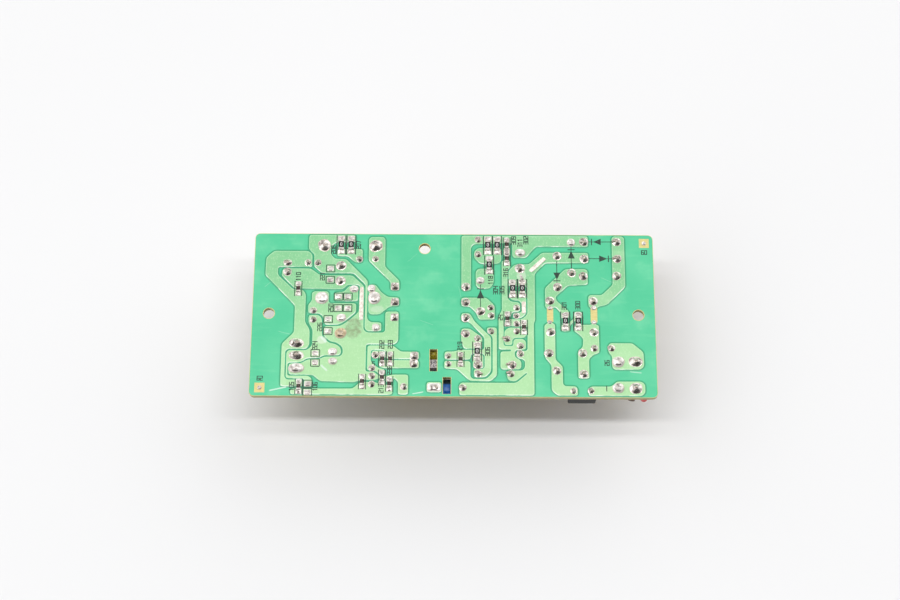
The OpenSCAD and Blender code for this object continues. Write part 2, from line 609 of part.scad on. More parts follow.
// Transformer: an E core lying flat, its winding along X between two flanges with pin rails

flange_thick = 1.1;
rail_size = [4.4, 19.6];
rail_foot = 0.5;
window_gap = 0.25;
core_mid_z = headroom / 2 + 1.2;
core_low_z = core_mid_z - core_size[2] / 2;
core_high_z = core_mid_z + core_size[2] / 2;
centre_leg = core_size[2];
winding_length = core_size[0] - 2 * core_back - 2 * flange_thick - 2 * window_gap;
flange_width = core_size[1] - 2 * core_leg - 2 * window_gap;
flange_height = 2 * (headroom - core_mid_z);
tube_wall = 0.8;
tube_side = centre_leg + 2 * window_gap + 2 * tube_wall;
pin_depth = 4.5;

// One half of the core: a back with two outer legs and a shorter centre leg
module core_half() {
    half = core_size[0] / 2;
    side = core_size[1] / 2;
    translate([0, 0, core_low_z])
        linear_extrude(core_size[2])
            polygon([[half, -side], [half, side], [0, side], [0, side - core_leg],
                [half - core_back, side - core_leg], [half - core_back, centre_leg / 2],
                [0.2, centre_leg / 2], [0.2, -centre_leg / 2], [half - core_back, -centre_leg / 2],
                [half - core_back, core_leg - side], [0, core_leg - side], [0, -side]]);
}

module transformer_core_right() {
    color("dimgray")
        hang(transformer_place)
            core_half();
}

module transformer_core_left() {
    color("dimgray")
        hang(transformer_place)
            mirror([1, 0, 0])
                core_half();
}

module transformer_bobbin() {
    flange_x = winding_length / 2;
    color("darkslategray")
        hang(transformer_place)
            difference() {
                union() {
                    translate([0, 0, core_mid_z])
                        block([winding_length + 2, tube_side], -tube_side / 2, tube_side / 2);
                    for (side = [-1, 1]) {
                        translate([side * (flange_x + flange_thick / 2), 0, core_mid_z])
                            rotate([0, 90, 0])
                                linear_extrude(flange_thick, center = true)
                                    polygon(rounded_box([flange_height, flange_width], 1.2));
                        translate([side * transformer_rows / 2, 0, 0])
                            block(rail_size, rail_foot, core_low_z - window_gap);
                        // Feet that hold the rail off the laminate
                        for (end = [-1, 1])
                            translate([side * transformer_rows / 2, end * (rail_size[1] / 2 - 1), 0])
                                block([rail_size[0], 2], 0, rail_foot + 0.5);
                    }
                }
                // The way through the middle for the centre legs
                translate([0, 0, core_mid_z])
                    block([core_size[0], centre_leg + 2 * window_gap],
                        -centre_leg / 2 - window_gap, centre_leg / 2 + window_gap);
                // Slots in the rails that the winding's ends pass down
                for (side = [-1, 1], i = [-1 : 1])
                    translate([side * (transformer_rows / 2 + rail_size[0] / 2), i * transformer_pitch, 0])
                        block([2.4, 1.2], -1, core_low_z - window_gap - 1.5);
                for (point = grid([0, 0], transformer_rows, transformer_pitch, [-1.5, -0.5, 0.5],
                        [-1.5, -0.5, 0.5, 1.5]))
                    translate([point[0], point[1], 0])
                        bar(lead_d + 2 * fit_gap, -1, pin_depth);
            }
}

module transformer_winding() {
    outer = [flange_height - 1.6, flange_width - 0.6];
    color("gold")
        hang(transformer_place)
            translate([-winding_length / 2, 0, core_mid_z])
                rotate([0, 90, 0])
                    linear_extrude(winding_length)
                        difference() {
                            polygon(rounded_box(outer, 2.4));
                            square(tube_side, center = true);
                        }
}

module transformer_tape() {
    outer = [core_size[0] + 2 * core_tape, core_size[1] + 2 * core_tape];
    color("khaki")
        hang(transformer_place)
            difference() {
                block(outer, core_low_z + 0.4, core_high_z - 0.4);
                block(core_size, core_low_z - 1, core_high_z + 1);
            }
}

module transformer_pins() {
    color("silver")
        for (point = grid(transformer_place, transformer_rows, transformer_pitch, [-0.5, 0.5, 1.5],
                [-1.5, -0.5, 0.5, 1.5]))
            hang([point[0], point[1], 0])
                bar(lead_d, -lead_up, pin_depth);
}

// Electrolytic capacitors: can, sleeve, rubber bung and leads

bung_depth = 1.6;
bung_foot = 0.2;
can_wall = 0.35;
lead_skin = 0.4;

// All electrolytics but the bulk one: place, diameter, height, pitch
small_cans = [
    for (place = output_cap_places) [place, output_cap_d, headroom, output_cap_pitch],
    for (place = filter_cap_places) [place, filter_cap_d, filter_cap_h, filter_cap_pitch],
    [supply_cap_place, supply_cap_d, supply_cap_h, supply_cap_pitch]
];

function can_r(d) = d / 2 - sleeve_thick - fit_gap;

module can(d, h) {
    r = can_r(d);
    shoulder = d * 0.07;
    difference() {
        rotate_extrude()
            polygon([[0, bung_depth], [r - can_wall, bung_depth], [r - can_wall, 0.5], [r, 0.5],
                [r, 1.4], [r - can_wall, 1.9], [r, 2.4], [r, h - shoulder],
                [r - shoulder * 0.3, h - shoulder * 0.3], [r - shoulder, h], [0, h]]);
        // Scored relief cross in the closed end
        for (turn = [0, 90])
            rotate([0, 0, turn + 45])
                block([r * 1.2, 0.3], h - 0.2, h + 1);
    }
}

module can_sleeve(d, h) {
    r = d / 2 - sleeve_thick;
    shoulder = d * 0.07;
    rotate_extrude()
        polygon([[r, 0.6], [d / 2, 0.6], [d / 2, h - shoulder * 1.1],
            [d / 2 - shoulder * 0.35, h - shoulder * 0.3], [r - shoulder * 0.25, h - shoulder * 0.45],
            [r, h - shoulder * 1.05]]);
}

module can_bung(d, pitch, wire_d) {
    difference() {
        bar(2 * (can_r(d) - can_wall - fit_gap), bung_foot, bung_depth);
        for (side = [-1, 1])
            translate([side * pitch / 2, 0, 0])
                bar(wire_d + 2 * fit_gap, -1, bung_depth - lead_skin);
    }
}

module bulk_capacitor_can() {
    color("silver")
        hang(bulk_place)
            can(bulk_d, headroom);
}

module bulk_capacitor_sleeve() {
    color("midnightblue")
        hang(bulk_place)
            can_sleeve(bulk_d, headroom);
}

module bulk_capacitor_bung() {
    color("dimgray")
        hang(bulk_place)
            can_bung(bulk_d, bulk_pitch, lead_d);
}

module bulk_capacitor_leads() {
    color("silver")
        hang(bulk_place)
            straight_leads(bulk_pitch, lead_d, bung_depth - lead_skin);
}

module small_capacitor_cans() {
    color("silver")
        for (c = small_cans)
            hang(c[0])
                can(c[1], c[2]);
}

module small_capacitor_sleeves() {
    color("midnightblue")
        for (c = small_cans)
            hang(c[0])
                can_sleeve(c[1], c[2]);
}

module small_capacitor_bungs() {
    color("dimgray")
        for (c = small_cans)
            hang(c[0])
                can_bung(c[1], c[3], thin_lead_d);
}

module small_capacitor_leads() {
    color("silver")
        for (c = small_cans)
            hang(c[0])
                straight_leads(c[3], thin_lead_d, bung_depth - lead_skin);
}

// Mains choke: a closed ferrite frame standing on edge, with two windings round its lower bar

choke_axis_z = 8.8;
choke_flange = 1.2;
choke_flange_side = 13;
choke_section = 6.6;
choke_spool_half = choke_section + 1.5 * choke_flange;
choke_frame_x = choke_spool_half + fit_gap;
choke_tube_side = choke_bar + 2 * window_gap + 2 * tube_wall;
choke_foot = [0.3, 2.6];
choke_pin_depth = 2.2;

module mains_choke_core() {
    outer_x = choke_frame_x + choke_bar / 2;
    low = choke_axis_z - choke_bar / 2;
    color("dimgray")
        hang(choke_place)
            for (side = [0, 1])
                mirror([side, 0, 0])
                    translate([0, choke_bar / 2, 0])
                        rotate([90, 0, 0])
                            linear_extrude(choke_bar)
                                polygon([[0, low], [outer_x, low], [outer_x, headroom],
                                    [0, headroom], [0, headroom - choke_bar],
                                    [choke_frame_x, headroom - choke_bar],
                                    [choke_frame_x, low + choke_bar], [0, low + choke_bar]]);
}

module mains_choke_bobbin() {
    color("ivory")
        hang(choke_place)
            difference() {
                union() {
                    translate([0, 0, choke_axis_z])
                        block([2 * choke_spool_half, choke_tube_side], -choke_tube_side / 2,
                            choke_tube_side / 2);
                    for (i = [-1 : 1])
                        translate([i * (choke_section + choke_flange), 0, choke_axis_z])
                            rotate([0, 90, 0])
                                linear_extrude(choke_flange, center = true)
                                    polygon(rounded_box([12.6, choke_flange_side], 1.5));
                    // Foot under each end flange, which holds the pins
                    for (side = [-1, 1])
                        translate([side * choke_grid[0] / 2, 0, 0])
                            block([choke_section - 2.2, choke_flange_side], choke_foot[0],
                                choke_foot[1]);
                    block([choke_grid[0], 3], choke_foot[0], choke_foot[1]);
                }
                translate([0, 0, choke_axis_z])
                    block([3 * choke_spool_half, choke_bar + 2 * window_gap],
                        -choke_bar / 2 - window_gap, choke_bar / 2 + window_gap);
                for (point = grid([0, 0], choke_grid[0], choke_grid[1], [-0.5, 0.5], [-0.5, 0.5]))
                    translate([point[0], point[1], 0])
                        bar(lead_d + 2 * fit_gap, -1, choke_pin_depth);
            }
}

module mains_choke_windings() {
    color("darkorange")
        hang(choke_place)
            for (side = [-1, 1])
                translate([side * (choke_section + choke_flange) / 2 - choke_section / 2, 0,
                        choke_axis_z])
                    rotate([0, 90, 0])
                        linear_extrude(choke_section)
                            difference() {
                                polygon(rounded_box([11.6, 11.8], 2.8));
                                square(choke_tube_side, center = true);
                            }
}

module mains_choke_pins() {
    color("silver")
        for (point = grid(choke_place, choke_grid[0], choke_grid[1], [-0.5, 0.5], [-0.5, 0.5]))
            hang([point[0], point[1], 0])
                bar(lead_d, -lead_up, choke_pin_depth);
}

// Suppression capacitors: a moulded case with feet, open towards the board and filled with resin

box_wall = 0.65;
box_foot = 0.5;
resin_depth = 2.5;
box_lead_end = box_foot + resin_depth - 0.5;

module suppression_capacitor_cases() {
    color("gold")
        for (place = box_places)
            hang(place)
                difference() {
                    union() {
                        translate([0, 0, box_foot])
                            linear_extrude(box_size[2] - box_foot)
                                polygon(rounded_box([box_size[0], box_size[1]], 0.6));
                        for (sx = [-1, 1], sy = [-1, 1])
                            translate([sx * (box_size[0] / 2 - 1), sy * (box_size[1] / 2 - 1), 0])
                                block([1.4, 1.2], 0, box_foot + 0.5);
                    }
                    block([box_size[0] - 2 * box_wall, box_size[1] - 2 * box_wall], -1,
                        box_foot + resin_depth);
                }
}

module suppression_capacitor_resin() {
    color("goldenrod")
        for (place = box_places)
            hang(place)
                difference() {
                    block([box_size[0] - 2 * box_wall, box_size[1] - 2 * box_wall], box_foot + 0.4,
                        box_foot + resin_depth);
                    for (side = [-1, 1])
                        translate([side * box_pitch / 2, 0, 0])
                            bar(lead_d + 2 * fit_gap, -1, box_lead_end);
                }
}

module suppression_capacitor_leads() {
    color("silver")
        for (place = box_places)
            hang(place)
                straight_leads(box_pitch, lead_d, box_lead_end);
}

// Fuse: a small box whose cap is pushed over its base

fuse_base_h = 1;
fuse_lead_end = fuse_base_h + 0.3;

module fuse_base() {
    color("black")
        hang(fuse_place)
            difference() {
                union() {
                    block([fuse_size[0], fuse_size[1]], 0, fuse_base_h);
                    block([fuse_size[0] - 1.4, fuse_size[1] - 1.4], 0, fuse_base_h + 0.8);
                }
                for (side = [-1, 1])
                    translate([side * fuse_pitch / 2, 0, 0])
                        bar(thin_lead_d + 2 * fit_gap, -1, fuse_lead_end);
            }
}

module fuse_cap() {
    color("black")
        hang(fuse_place)
            difference() {
                translate([0, 0, fuse_base_h])
                    linear_extrude(fuse_size[2] - fuse_base_h)
                        polygon(rounded_box([fuse_size[0], fuse_size[1]], 0.4));
                block([fuse_size[0] - 1.3, fuse_size[1] - 1.3], 0, fuse_size[2] - 0.6);
            }
}

module fuse_leads() {
    color("silver")
        hang(fuse_place)
            straight_leads(fuse_pitch, thin_lead_d, fuse_lead_end);
}

// Coated discs

disc_foot = 1.5;
// The safety capacitor sits closer and leans towards the middle of the board
safety_cap_foot = 0.5;
safety_cap_lean = 8;

// How far up a disc its leads are buried in the coating
function disc_lead_end(size, foot = disc_foot) = foot + 0.42 * size[0];

// A coated disc with the two pockets that its leads run into. It leans about the line
// where the leads go in, so they stay in the middle of the coating
module drilled_disc(size, pitch, wire_d, foot = disc_foot, lean = 0) {
    entry = foot + size[0] * 0.32;
    difference() {
        translate([0, 0, entry])
            rotate([lean, 0, 0])
                translate([0, 0, -entry])
                    standing_disc(size, foot);
        for (side = [-1, 1])
            translate([side * pitch / 2, 0, 0])
                bar(wire_d + 2 * fit_gap, -1, disc_lead_end(size, foot));
    }
}

module thermistor_disc() {
    color("darkgreen")
        hang(thermistor_place)
            drilled_disc(thermistor_size, thermistor_pitch, thin_lead_d);
}

module thermistor_leads() {
    color("silver")
        hang(thermistor_place)
            straight_leads(thermistor_pitch, thin_lead_d, disc_lead_end(thermistor_size));
}

module varistor_disc() {
    color("royalblue")
        hang(varistor_place)
            drilled_disc(varistor_size, varistor_pitch, lead_d);
}

module varistor_leads() {
    color("silver")
        hang(varistor_place)
            straight_leads(varistor_pitch, lead_d, disc_lead_end(varistor_size));
}

module safety_capacitor_disc() {
    color("royalblue")
        hang(safety_cap_place)
            drilled_disc(safety_cap_size, safety_cap_pitch, thin_lead_d, safety_cap_foot,
                safety_cap_lean);
}

module safety_capacitor_leads() {
    color("silver")
        hang(safety_cap_place)
            straight_leads(safety_cap_pitch, thin_lead_d,
                disc_lead_end(safety_cap_size, safety_cap_foot));
}

module disc_capacitor_bodies() {
    color("peru")
        for (place = disc_cap_places)
            hang(place)
                drilled_disc(disc_cap_size, disc_cap_pitch, thin_lead_d);
}

module disc_capacitor_leads() {
    color("silver")
        for (place = disc_cap_places)
            hang(place)
                straight_leads(disc_cap_pitch, thin_lead_d, disc_lead_end(disc_cap_size));
}

// Diodes and the lying resistor

rectifier_z = rectifier_size[0] / 2 + 0.3;
output_diode_z = output_diode_size[0] / 2 + 0.6;
axial_size = [2.4, 6.2];
axial_z = axial_size[0] / 2 + 0.3;

module rectifier_bodies() {
    color("black")
        for (place = rectifier_places)
            hang(place)
                axial_body(rectifier_size, rectifier_z);
}

module rectifier_leads() {
    color("silver")
        for (place = rectifier_places)
            hang(place)
                bent_leads(rectifier_pitch, lead_d, rectifier_z, rectifier_size[1]);
}

module output_diode_bodies() {
    color("black")
        for (place = output_diode_places)
            hang(place)
                axial_body(output_diode_size, output_diode_z);
}

module output_diode_leads() {
    color("silver")
        for (place = output_diode_places)
            hang(place)
                bent_leads(output_diode_pitch, thick_lead_d, output_diode_z, output_diode_size[1]);
}

module axial_resistor_body() {
    color("tan")
        hang(axial_place)
            translate([-axial_size[1] / 2, 0, axial_z])
                rotate([0, 90, 0])
                    rotate_extrude()
                        polygon([[0, 0], [0.7, 0], [1.2, 0.5], [1.2, 1.4], [0.95, 1.8],
                            [0.95, axial_size[1] - 1.8], [1.2, axial_size[1] - 1.4],
                            [1.2, axial_size[1] - 0.5], [0.7, axial_size[1]], [0, axial_size[1]]]);
}

module axial_resistor_leads() {
    color("silver")
        hang(axial_place)
            bent_leads(axial_pitch, thin_lead_d, axial_z, axial_size[1]);
}

// Chips with two rows of legs

leg_thick = 0.3;

// A moulded body whose sides lean in above and below the plane of the legs
module chip_moulding(size, foot) {
    lean = 0.35;
    translate([0, size[0] / 2, foot])
        rotate([90, 0, 0])
            linear_extrude(size[0])
                polygon([[-size[1] / 2 + lean, 0], [size[1] / 2 - lean, 0],
                    [size[1] / 2, size[2] * 0.45], [size[1] / 2, size[2] * 0.55],
                    [size[1] / 2 - lean, size[2]], [-size[1] / 2 + lean, size[2]],
                    [-size[1] / 2, size[2] * 0.55], [-size[1] / 2, size[2] * 0.45]]);
}

// One leg: out of the body's side, over a shoulder and down through the board
module chip_leg(rows, body_width, plane_z) {
    inner = body_width / 2;
    outer = rows / 2 + leg_thick / 2;
    translate([0, 0.65, 0])
        rotate([90, 0, 0])
            linear_extrude(1.3)
                polygon([[inner, plane_z - leg_thick / 2], [outer - leg_thick, plane_z - leg_thick / 2],
                    [outer - leg_thick, 0.6], [outer, 0.6], [outer, plane_z], [outer - 0.15, plane_z + 0.15],
                    [inner, plane_z + leg_thick / 2]]);
    translate([rows / 2, 0, 0])
        block([leg_thick, thin_lead_d * 0.7], -lead_up, 0.6);
}

control_chip_foot = 0.5;

module control_chip_body() {
    color("black")
        hang([control_chip_place[0], control_chip_place[1], 0])
            difference() {
                chip_moulding(control_chip_size, control_chip_foot);
                // Half-round notch that marks the end with the first leg
                translate([0, -control_chip_size[0] / 2, control_chip_foot + control_chip_size[2]])
                    cylinder(d = 1.6, h = 1, center = true);
            }
}

module control_chip_legs() {
    plane = control_chip_foot + control_chip_size[2] / 2;
    color("silver")
        hang([control_chip_place[0], control_chip_place[1], 0]) {
            for (i = [-1.5, -0.5, 0.5, 1.5])
                translate([0, -i * leg_pitch, 0])
                    chip_leg(control_chip_rows, control_chip_size[1], plane);
            for (i = [-1.5, 0.5, 1.5])
                translate([0, -i * leg_pitch, 0])
                    mirror([1, 0, 0])
                        chip_leg(control_chip_rows, control_chip_size[1], plane);
        }
}

optocoupler_foot = 0.8;

module optocoupler_body() {
    color("whitesmoke")
        hang([optocoupler_place[0], optocoupler_place[1], 0])
            chip_moulding(optocoupler_size, optocoupler_foot);
}

module optocoupler_legs() {
    plane = optocoupler_foot + optocoupler_size[2] / 2;
    color("silver")
        hang([optocoupler_place[0], optocoupler_place[1], 0])
            for (side = [0, 1], i = [-0.5, 0.5])
                mirror([side, 0, 0])
                    translate([0, i * leg_pitch, 0])
                        chip_leg(optocoupler_rows, optocoupler_size[1], plane);
}

// Three-leg regulator: a round body with one flat side, on straight legs

regulator_d = 4.8;
regulator_h = 4.8;
regulator_foot = 2;
regulator_flat = 1.1;
regulator_body_pitch = 1.27;

module regulator_body() {
    color("black")
        hang(regulator_place)
            difference() {
                bar(regulator_d, regulator_foot, regulator_foot + regulator_h);
                translate([0, regulator_d / 2 + regulator_flat, 0])
                    block([2 * regulator_d, regulator_d], 0, regulator_foot + regulator_h + 1);
            }
}

module regulator_legs() {
    leg = 0.45;
    color("silver")
        hang(regulator_place)
            for (i = [-1 : 1]) {
                translate([i * regulator_pitch, 0, 0])
                    block([leg, leg], -lead_up, regulator_foot - leg);
                // The outer legs step inwards to meet the narrow body
                translate([i * (regulator_pitch + regulator_body_pitch) / 2, 0, 0])
                    block([abs(i) * (regulator_pitch - regulator_body_pitch) + leg, leg],
                        regulator_foot - leg, regulator_foot);
            }
}

// Output chokes: a drum of ferrite in a shrink sleeve

module output_choke_bodies() {
    d = output_choke_size[0];
    h = output_choke_size[1];
    color("black")
        for (place = output_choke_places)
            hang(place)
                rotate_extrude()
                    polygon([[0, 0.3], [d / 2 - 0.4, 0.3], [d / 2, 0.8], [d / 2, 1.6],
                        [d / 2 - 0.25, 2.1], [d / 2 - 0.25, h - 1.8], [d / 2, h - 1.3],
                        [d / 2, h - 0.5], [d / 2 - 0.4, h], [d / 2 - 1.2, h], [d / 2 - 1.4, h - 0.3],
                        [0, h - 0.3]]);
}

module output_choke_leads() {
    color("silver")
        for (place = output_choke_places)
            hang(place)
                straight_leads(output_choke_pitch, thin_lead_d, 0.3);
}

module jumper_wires() {
    color("silver")
        for (j = jumpers)
            hang(j[0])
                jumper(j[1]);
}

// Output header: an open nylon base with one locking wall and three square pins

header_wall_h = 9;
header_base_h = 3;
header_width = 7.4;

module header_housing() {
    length = 3 * header_pitch;
    color("ivory")
        hang(header_place)
            difference() {
                union() {
                    block([length, header_width], 0, header_base_h);
                    translate([0, header_width / 2 - 0.6, 0])
                        block([length - 2, 1.2], 0, header_wall_h);
                    // The catch along the top of the locking wall
                    translate([0, header_width / 2 - 1.2, 0])
                        block([length - 4, 0.8], header_wall_h - 1.4, header_wall_h - 0.4);
                }
                for (i = [-1 : 1])
                    translate([i * header_pitch, 0, 0])
                        block([header_pin + 2 * fit_gap, header_pin + 2 * fit_gap], -1,
                            header_base_h + 1);
            }
}

module header_pins() {
    color("silver")
        hang(header_place)
            for (i = [-1 : 1])
                translate([i * header_pitch, 0, 0])
                    block([header_pin, header_pin], -lead_up, header_pin_h);
}

// Input wires: two short insulated tails, cut off below the board

// Where each tail runs, from the laminate down: x, y in the layout and depth
input_tails = [
    [[113.7, 2.9, 0.6], [113.7, 2.9, 1.6], [114.3, 2.95, 3.2], [115.4, 3.1, 5], [116.3, 3.25, 7],
        [116.9, 3.4, 9]],
    [[113.8, 11.2, 0.6], [113.8, 11.2, 1.6], [113.8, 10.4, 3.4], [113.7, 8.2, 5.2],
        [113.4, 5.4, 7], [113.1, 2.8, 8.8]]
];
tail_sides = 12;

// Points of a ring round a route's point, square to the way the route runs there
function ring(route, i, r) =
    let (n = len(route),
         way = unit(route[min(i + 1, n - 1)] - route[max(i - 1, 0)]),
         across = unit(cross(way, [0, 1, 0.2])), up = cross(across, way))
    [for (k = [0 : tail_sides - 1])
        route[i] + r * (cos(360 * k / tail_sides) * across + sin(360 * k / tail_sides) * up)];

// A round tube that follows a route
module tail(route, r) {
    n = len(route);
    points = [for (i = [0 : n - 1]) each ring(route, i, r)];
    sides = [for (i = [0 : n - 2], k = [0 : tail_sides - 1])
        let (a = i * tail_sides + k, b = i * tail_sides + (k + 1) % tail_sides)
        [a, b, b + tail_sides, a + tail_sides]];
    start = [[for (k = [tail_sides - 1 : -1 : 0]) k]];
    finish = [[for (k = [0 : tail_sides - 1]) (n - 1) * tail_sides + k]];
    polyhedron(points, concat(sides, start, finish));
}

function below_board(route) = [for (p = route)
    [p[0] - layout_length / 2, p[1] - layout_width / 2, headroom - p[2]]];

module input_wire_insulation() {
    color("firebrick")
        for (route = input_tails)
            tail(below_board(route), input_wire_d / 2);
}

module input_wire_strands() {
    color("peru")
        for (route = input_tails)
            on_face(route[0], headroom - route[0][2])
                bar(lead_d * 1.5, 0, route[0][2] + lead_up);
}

board();
copper_tracks();
tinned_areas();
solder_joints();
chip_solder();
large_chip_bodies();
large_chip_ends();
small_chip_bodies();
small_chip_ends();
transformer_core_left();
transformer_core_right();
transformer_bobbin();
transformer_winding();
transformer_tape();
transformer_pins();
bulk_capacitor_can();
bulk_capacitor_sleeve();
bulk_capacitor_bung();
bulk_capacitor_leads();
small_capacitor_cans();
small_capacitor_sleeves();
small_capacitor_bungs();
small_capacitor_leads();
mains_choke_core();
mains_choke_bobbin();
mains_choke_windings();
mains_choke_pins();
suppression_capacitor_cases();
suppression_capacitor_resin();
suppression_capacitor_leads();
fuse_cap();
fuse_base();
fuse_leads();
thermistor_disc();
thermistor_leads();
varistor_disc();
varistor_leads();
rectifier_bodies();
rectifier_leads();
output_diode_bodies();
output_diode_leads();
safety_capacitor_disc();
safety_capacitor_leads();
disc_capacitor_bodies();
disc_capacitor_leads();
axial_resistor_body();
axial_resistor_leads();
control_chip_body();
control_chip_legs();
optocoupler_body();
optocoupler_legs();
regulator_body();
regulator_legs();
output_choke_bodies();
output_choke_leads();
jumper_wires();
header_housing();
header_pins();
input_wire_insulation();
input_wire_strands();
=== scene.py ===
# %% [markdown]
# # A power supply board, solder side up
#
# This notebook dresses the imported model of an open-frame power supply. The board lies on its
# tall parts with the solder side up, so most of the looks are made on that face: green lacquer
# over copper, cones of solder round each lead, and small chips on their lands. The parts that
# hang underneath get their finishes near the end.
#
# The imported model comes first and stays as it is. Everything else is placed by what it measures.

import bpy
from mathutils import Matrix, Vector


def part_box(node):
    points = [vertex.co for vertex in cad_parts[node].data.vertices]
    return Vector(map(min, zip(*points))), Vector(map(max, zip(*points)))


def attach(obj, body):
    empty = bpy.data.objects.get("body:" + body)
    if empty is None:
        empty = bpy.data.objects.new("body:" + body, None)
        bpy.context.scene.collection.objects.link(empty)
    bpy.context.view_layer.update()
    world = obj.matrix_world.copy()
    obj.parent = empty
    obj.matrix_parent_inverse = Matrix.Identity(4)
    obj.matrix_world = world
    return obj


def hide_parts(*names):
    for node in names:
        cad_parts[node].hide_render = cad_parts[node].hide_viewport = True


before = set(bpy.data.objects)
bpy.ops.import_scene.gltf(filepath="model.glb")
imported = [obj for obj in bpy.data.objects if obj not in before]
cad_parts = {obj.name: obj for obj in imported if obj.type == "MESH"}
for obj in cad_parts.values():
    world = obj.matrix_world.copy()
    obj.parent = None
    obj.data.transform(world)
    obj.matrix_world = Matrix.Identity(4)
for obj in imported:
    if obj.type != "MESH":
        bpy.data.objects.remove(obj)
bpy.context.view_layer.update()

# %% Units, and the board's own layout
import math

import bmesh
import bpy
import numpy as np
from mathutils import Matrix, Vector, geometry

MM = 0.001
BOARD_LENGTH, BOARD_WIDTH = 120.0, 52.0
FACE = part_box("board")[1].z / MM  # the solder face, in mm above the floor
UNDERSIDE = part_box("board")[0].z / MM
print("solder face at", round(FACE, 3), "mm, component face at", round(UNDERSIDE, 3), "mm")


def to_layout(point):
    """A point in metres in the frame, as (x, y) in mm from the board's near left corner."""
    return point[0] / MM + BOARD_LENGTH / 2, point[1] / MM + BOARD_WIDTH / 2


# %% [markdown]
# ## Camera, floor and light
#
# A board is shown best from well above, and a long lens keeps its edges nearly parallel. A camera
# can be aimed with a constraint, but here its matrix is built from three directions, so the small
# roll about the line of sight is one number like the others.
#
# The light is two long strip lamps overhead, in a room with bright side walls. One soft square
# lamp would be simpler, but strips that run along the board give its long edge two sharp nested
# shadows while its ends throw soft ones.

# %% The camera
LOOK_AT = Vector((-1.111, 4.57, FACE)) * MM
CAMERA_DISTANCE = 0.597
CAMERA_HEIGHT_ANGLE, CAMERA_TURN, CAMERA_ROLL = (math.radians(a) for a in (68.109, 0.167, 0.143))
towards_camera = Vector((math.sin(CAMERA_TURN) * math.cos(CAMERA_HEIGHT_ANGLE),
                         -math.cos(CAMERA_TURN) * math.cos(CAMERA_HEIGHT_ANGLE),
                         math.sin(CAMERA_HEIGHT_ANGLE)))
camera = bpy.data.objects.new("camera", bpy.data.cameras.new("camera"))
camera.data.lens, camera.data.sensor_width, camera.data.clip_start = 80, 36, 0.02
side = Vector((math.cos(CAMERA_TURN), math.sin(CAMERA_TURN), 0))
up = towards_camera.cross(side)
turned_side = side * math.cos(CAMERA_ROLL) + up * math.sin(CAMERA_ROLL)
turned_up = up * math.cos(CAMERA_ROLL) - side * math.sin(CAMERA_ROLL)
camera.matrix_world = (Matrix.Translation(LOOK_AT + CAMERA_DISTANCE * towards_camera)
                       @ Matrix((turned_side, turned_up, towards_camera)).transposed().to_4x4())
bpy.context.scene.collection.objects.link(camera)
bpy.context.scene.camera = camera
bpy.context.scene.view_settings.view_transform = "Standard"
print("camera at", [round(v, 4) for v in camera.matrix_world.translation])


# %% Lamps
LAMP_HEIGHT, STRIP_LENGTH, STRIP_WIDTH = 1.6, 2.2, 0.14


def strip_lamp(name, tilt, power):
    """A long lamp along X that hangs over the board, tilted from straight above towards +Y."""
    lamp = bpy.data.lights.new(name, "AREA")
    lamp.shape, lamp.size, lamp.size_y, lamp.energy = "RECTANGLE", STRIP_LENGTH, STRIP_WIDTH, power
    holder = bpy.data.objects.new(name, lamp)
    away = Vector((0, math.sin(math.radians(tilt)), math.cos(math.radians(tilt))))
    holder.location = away * LAMP_HEIGHT
    holder.rotation_euler = (-math.radians(tilt), 0, 0)
    bpy.context.scene.collection.objects.link(holder)
    print(name, "tilted", tilt, "degrees,", power, "W")


strip_lamp("main_lamp", -3, 12.5)
strip_lamp("second_lamp", 9, 5.8)

# %% [markdown]
# ## Shader maths as Python
#
# A finish is a graph of nodes, and a graph built by hand is hard to read back. Here it is written
# as expressions: a `Value` wraps one socket, and arithmetic on it adds Math nodes. A `Graph` makes
# any other node with one method, which sets the node's options first and then its inputs, and
# returns what comes out of it. A `Finish` is the graph of one material.


# %% One socket with arithmetic
class Value:
    """A number that changes over a surface: one output socket."""

    def __init__(self, graph, socket):
        self.graph, self.socket = graph, socket

    def math(self, operation, *others):
        return self.graph.node("ShaderNodeMath", {"operation": operation},
                               dict(enumerate((self,) + others)))

    def __add__(self, other):
        return self.math("ADD", other)

    def __mul__(self, other):
        return self.math("MULTIPLY", other)

    __radd__, __rmul__ = __add__, __mul__

    def __sub__(self, other):
        return self.math("SUBTRACT", other)

    def __rsub__(self, other):
        return self * -1 + other

    def __truediv__(self, other):
        return self.math("DIVIDE", other)

    def __abs__(self):
        return self.math("ABSOLUTE")

    def most(self, other):
        return self.math("MAXIMUM", other)

    def step(self, low, high):
        """0 below low, 1 above high, and smooth between them. Low may be above high."""
        return self.graph.node("ShaderNodeMapRange", {"interpolation_type": "SMOOTHSTEP"},
                               {"Value": self, "From Min": low, "From Max": high})


# %% One graph of nodes, and one material
def linear(red, green, blue):
    """A colour given as 0 to 255 on a screen, as the light it stands for."""
    def channel(c):
        c = c / 255
        return c / 12.92 if c <= 0.04045 else ((c + 0.055) / 1.055) ** 2.4
    return channel(red), channel(green), channel(blue), 1.0


class Graph:
    """A tree of nodes that starts empty."""

    def __init__(self, tree):
        self.tree = tree
        tree.nodes.clear()

    def node(self, kind, settings=None, inputs=None, output=0):
        """Makes a node: its options, then its inputs, as numbers or links. Gives one output."""
        made = self.tree.nodes.new(kind)
        for name, value in (settings or {}).items():
            setattr(made, name, value)
        for name, value in (inputs or {}).items():
            if isinstance(value, Value):
                self.tree.links.new(value.socket, made.inputs[name])
            else:
                made.inputs[name].default_value = value
        return Value(self, made.outputs[output]) if made.outputs else None


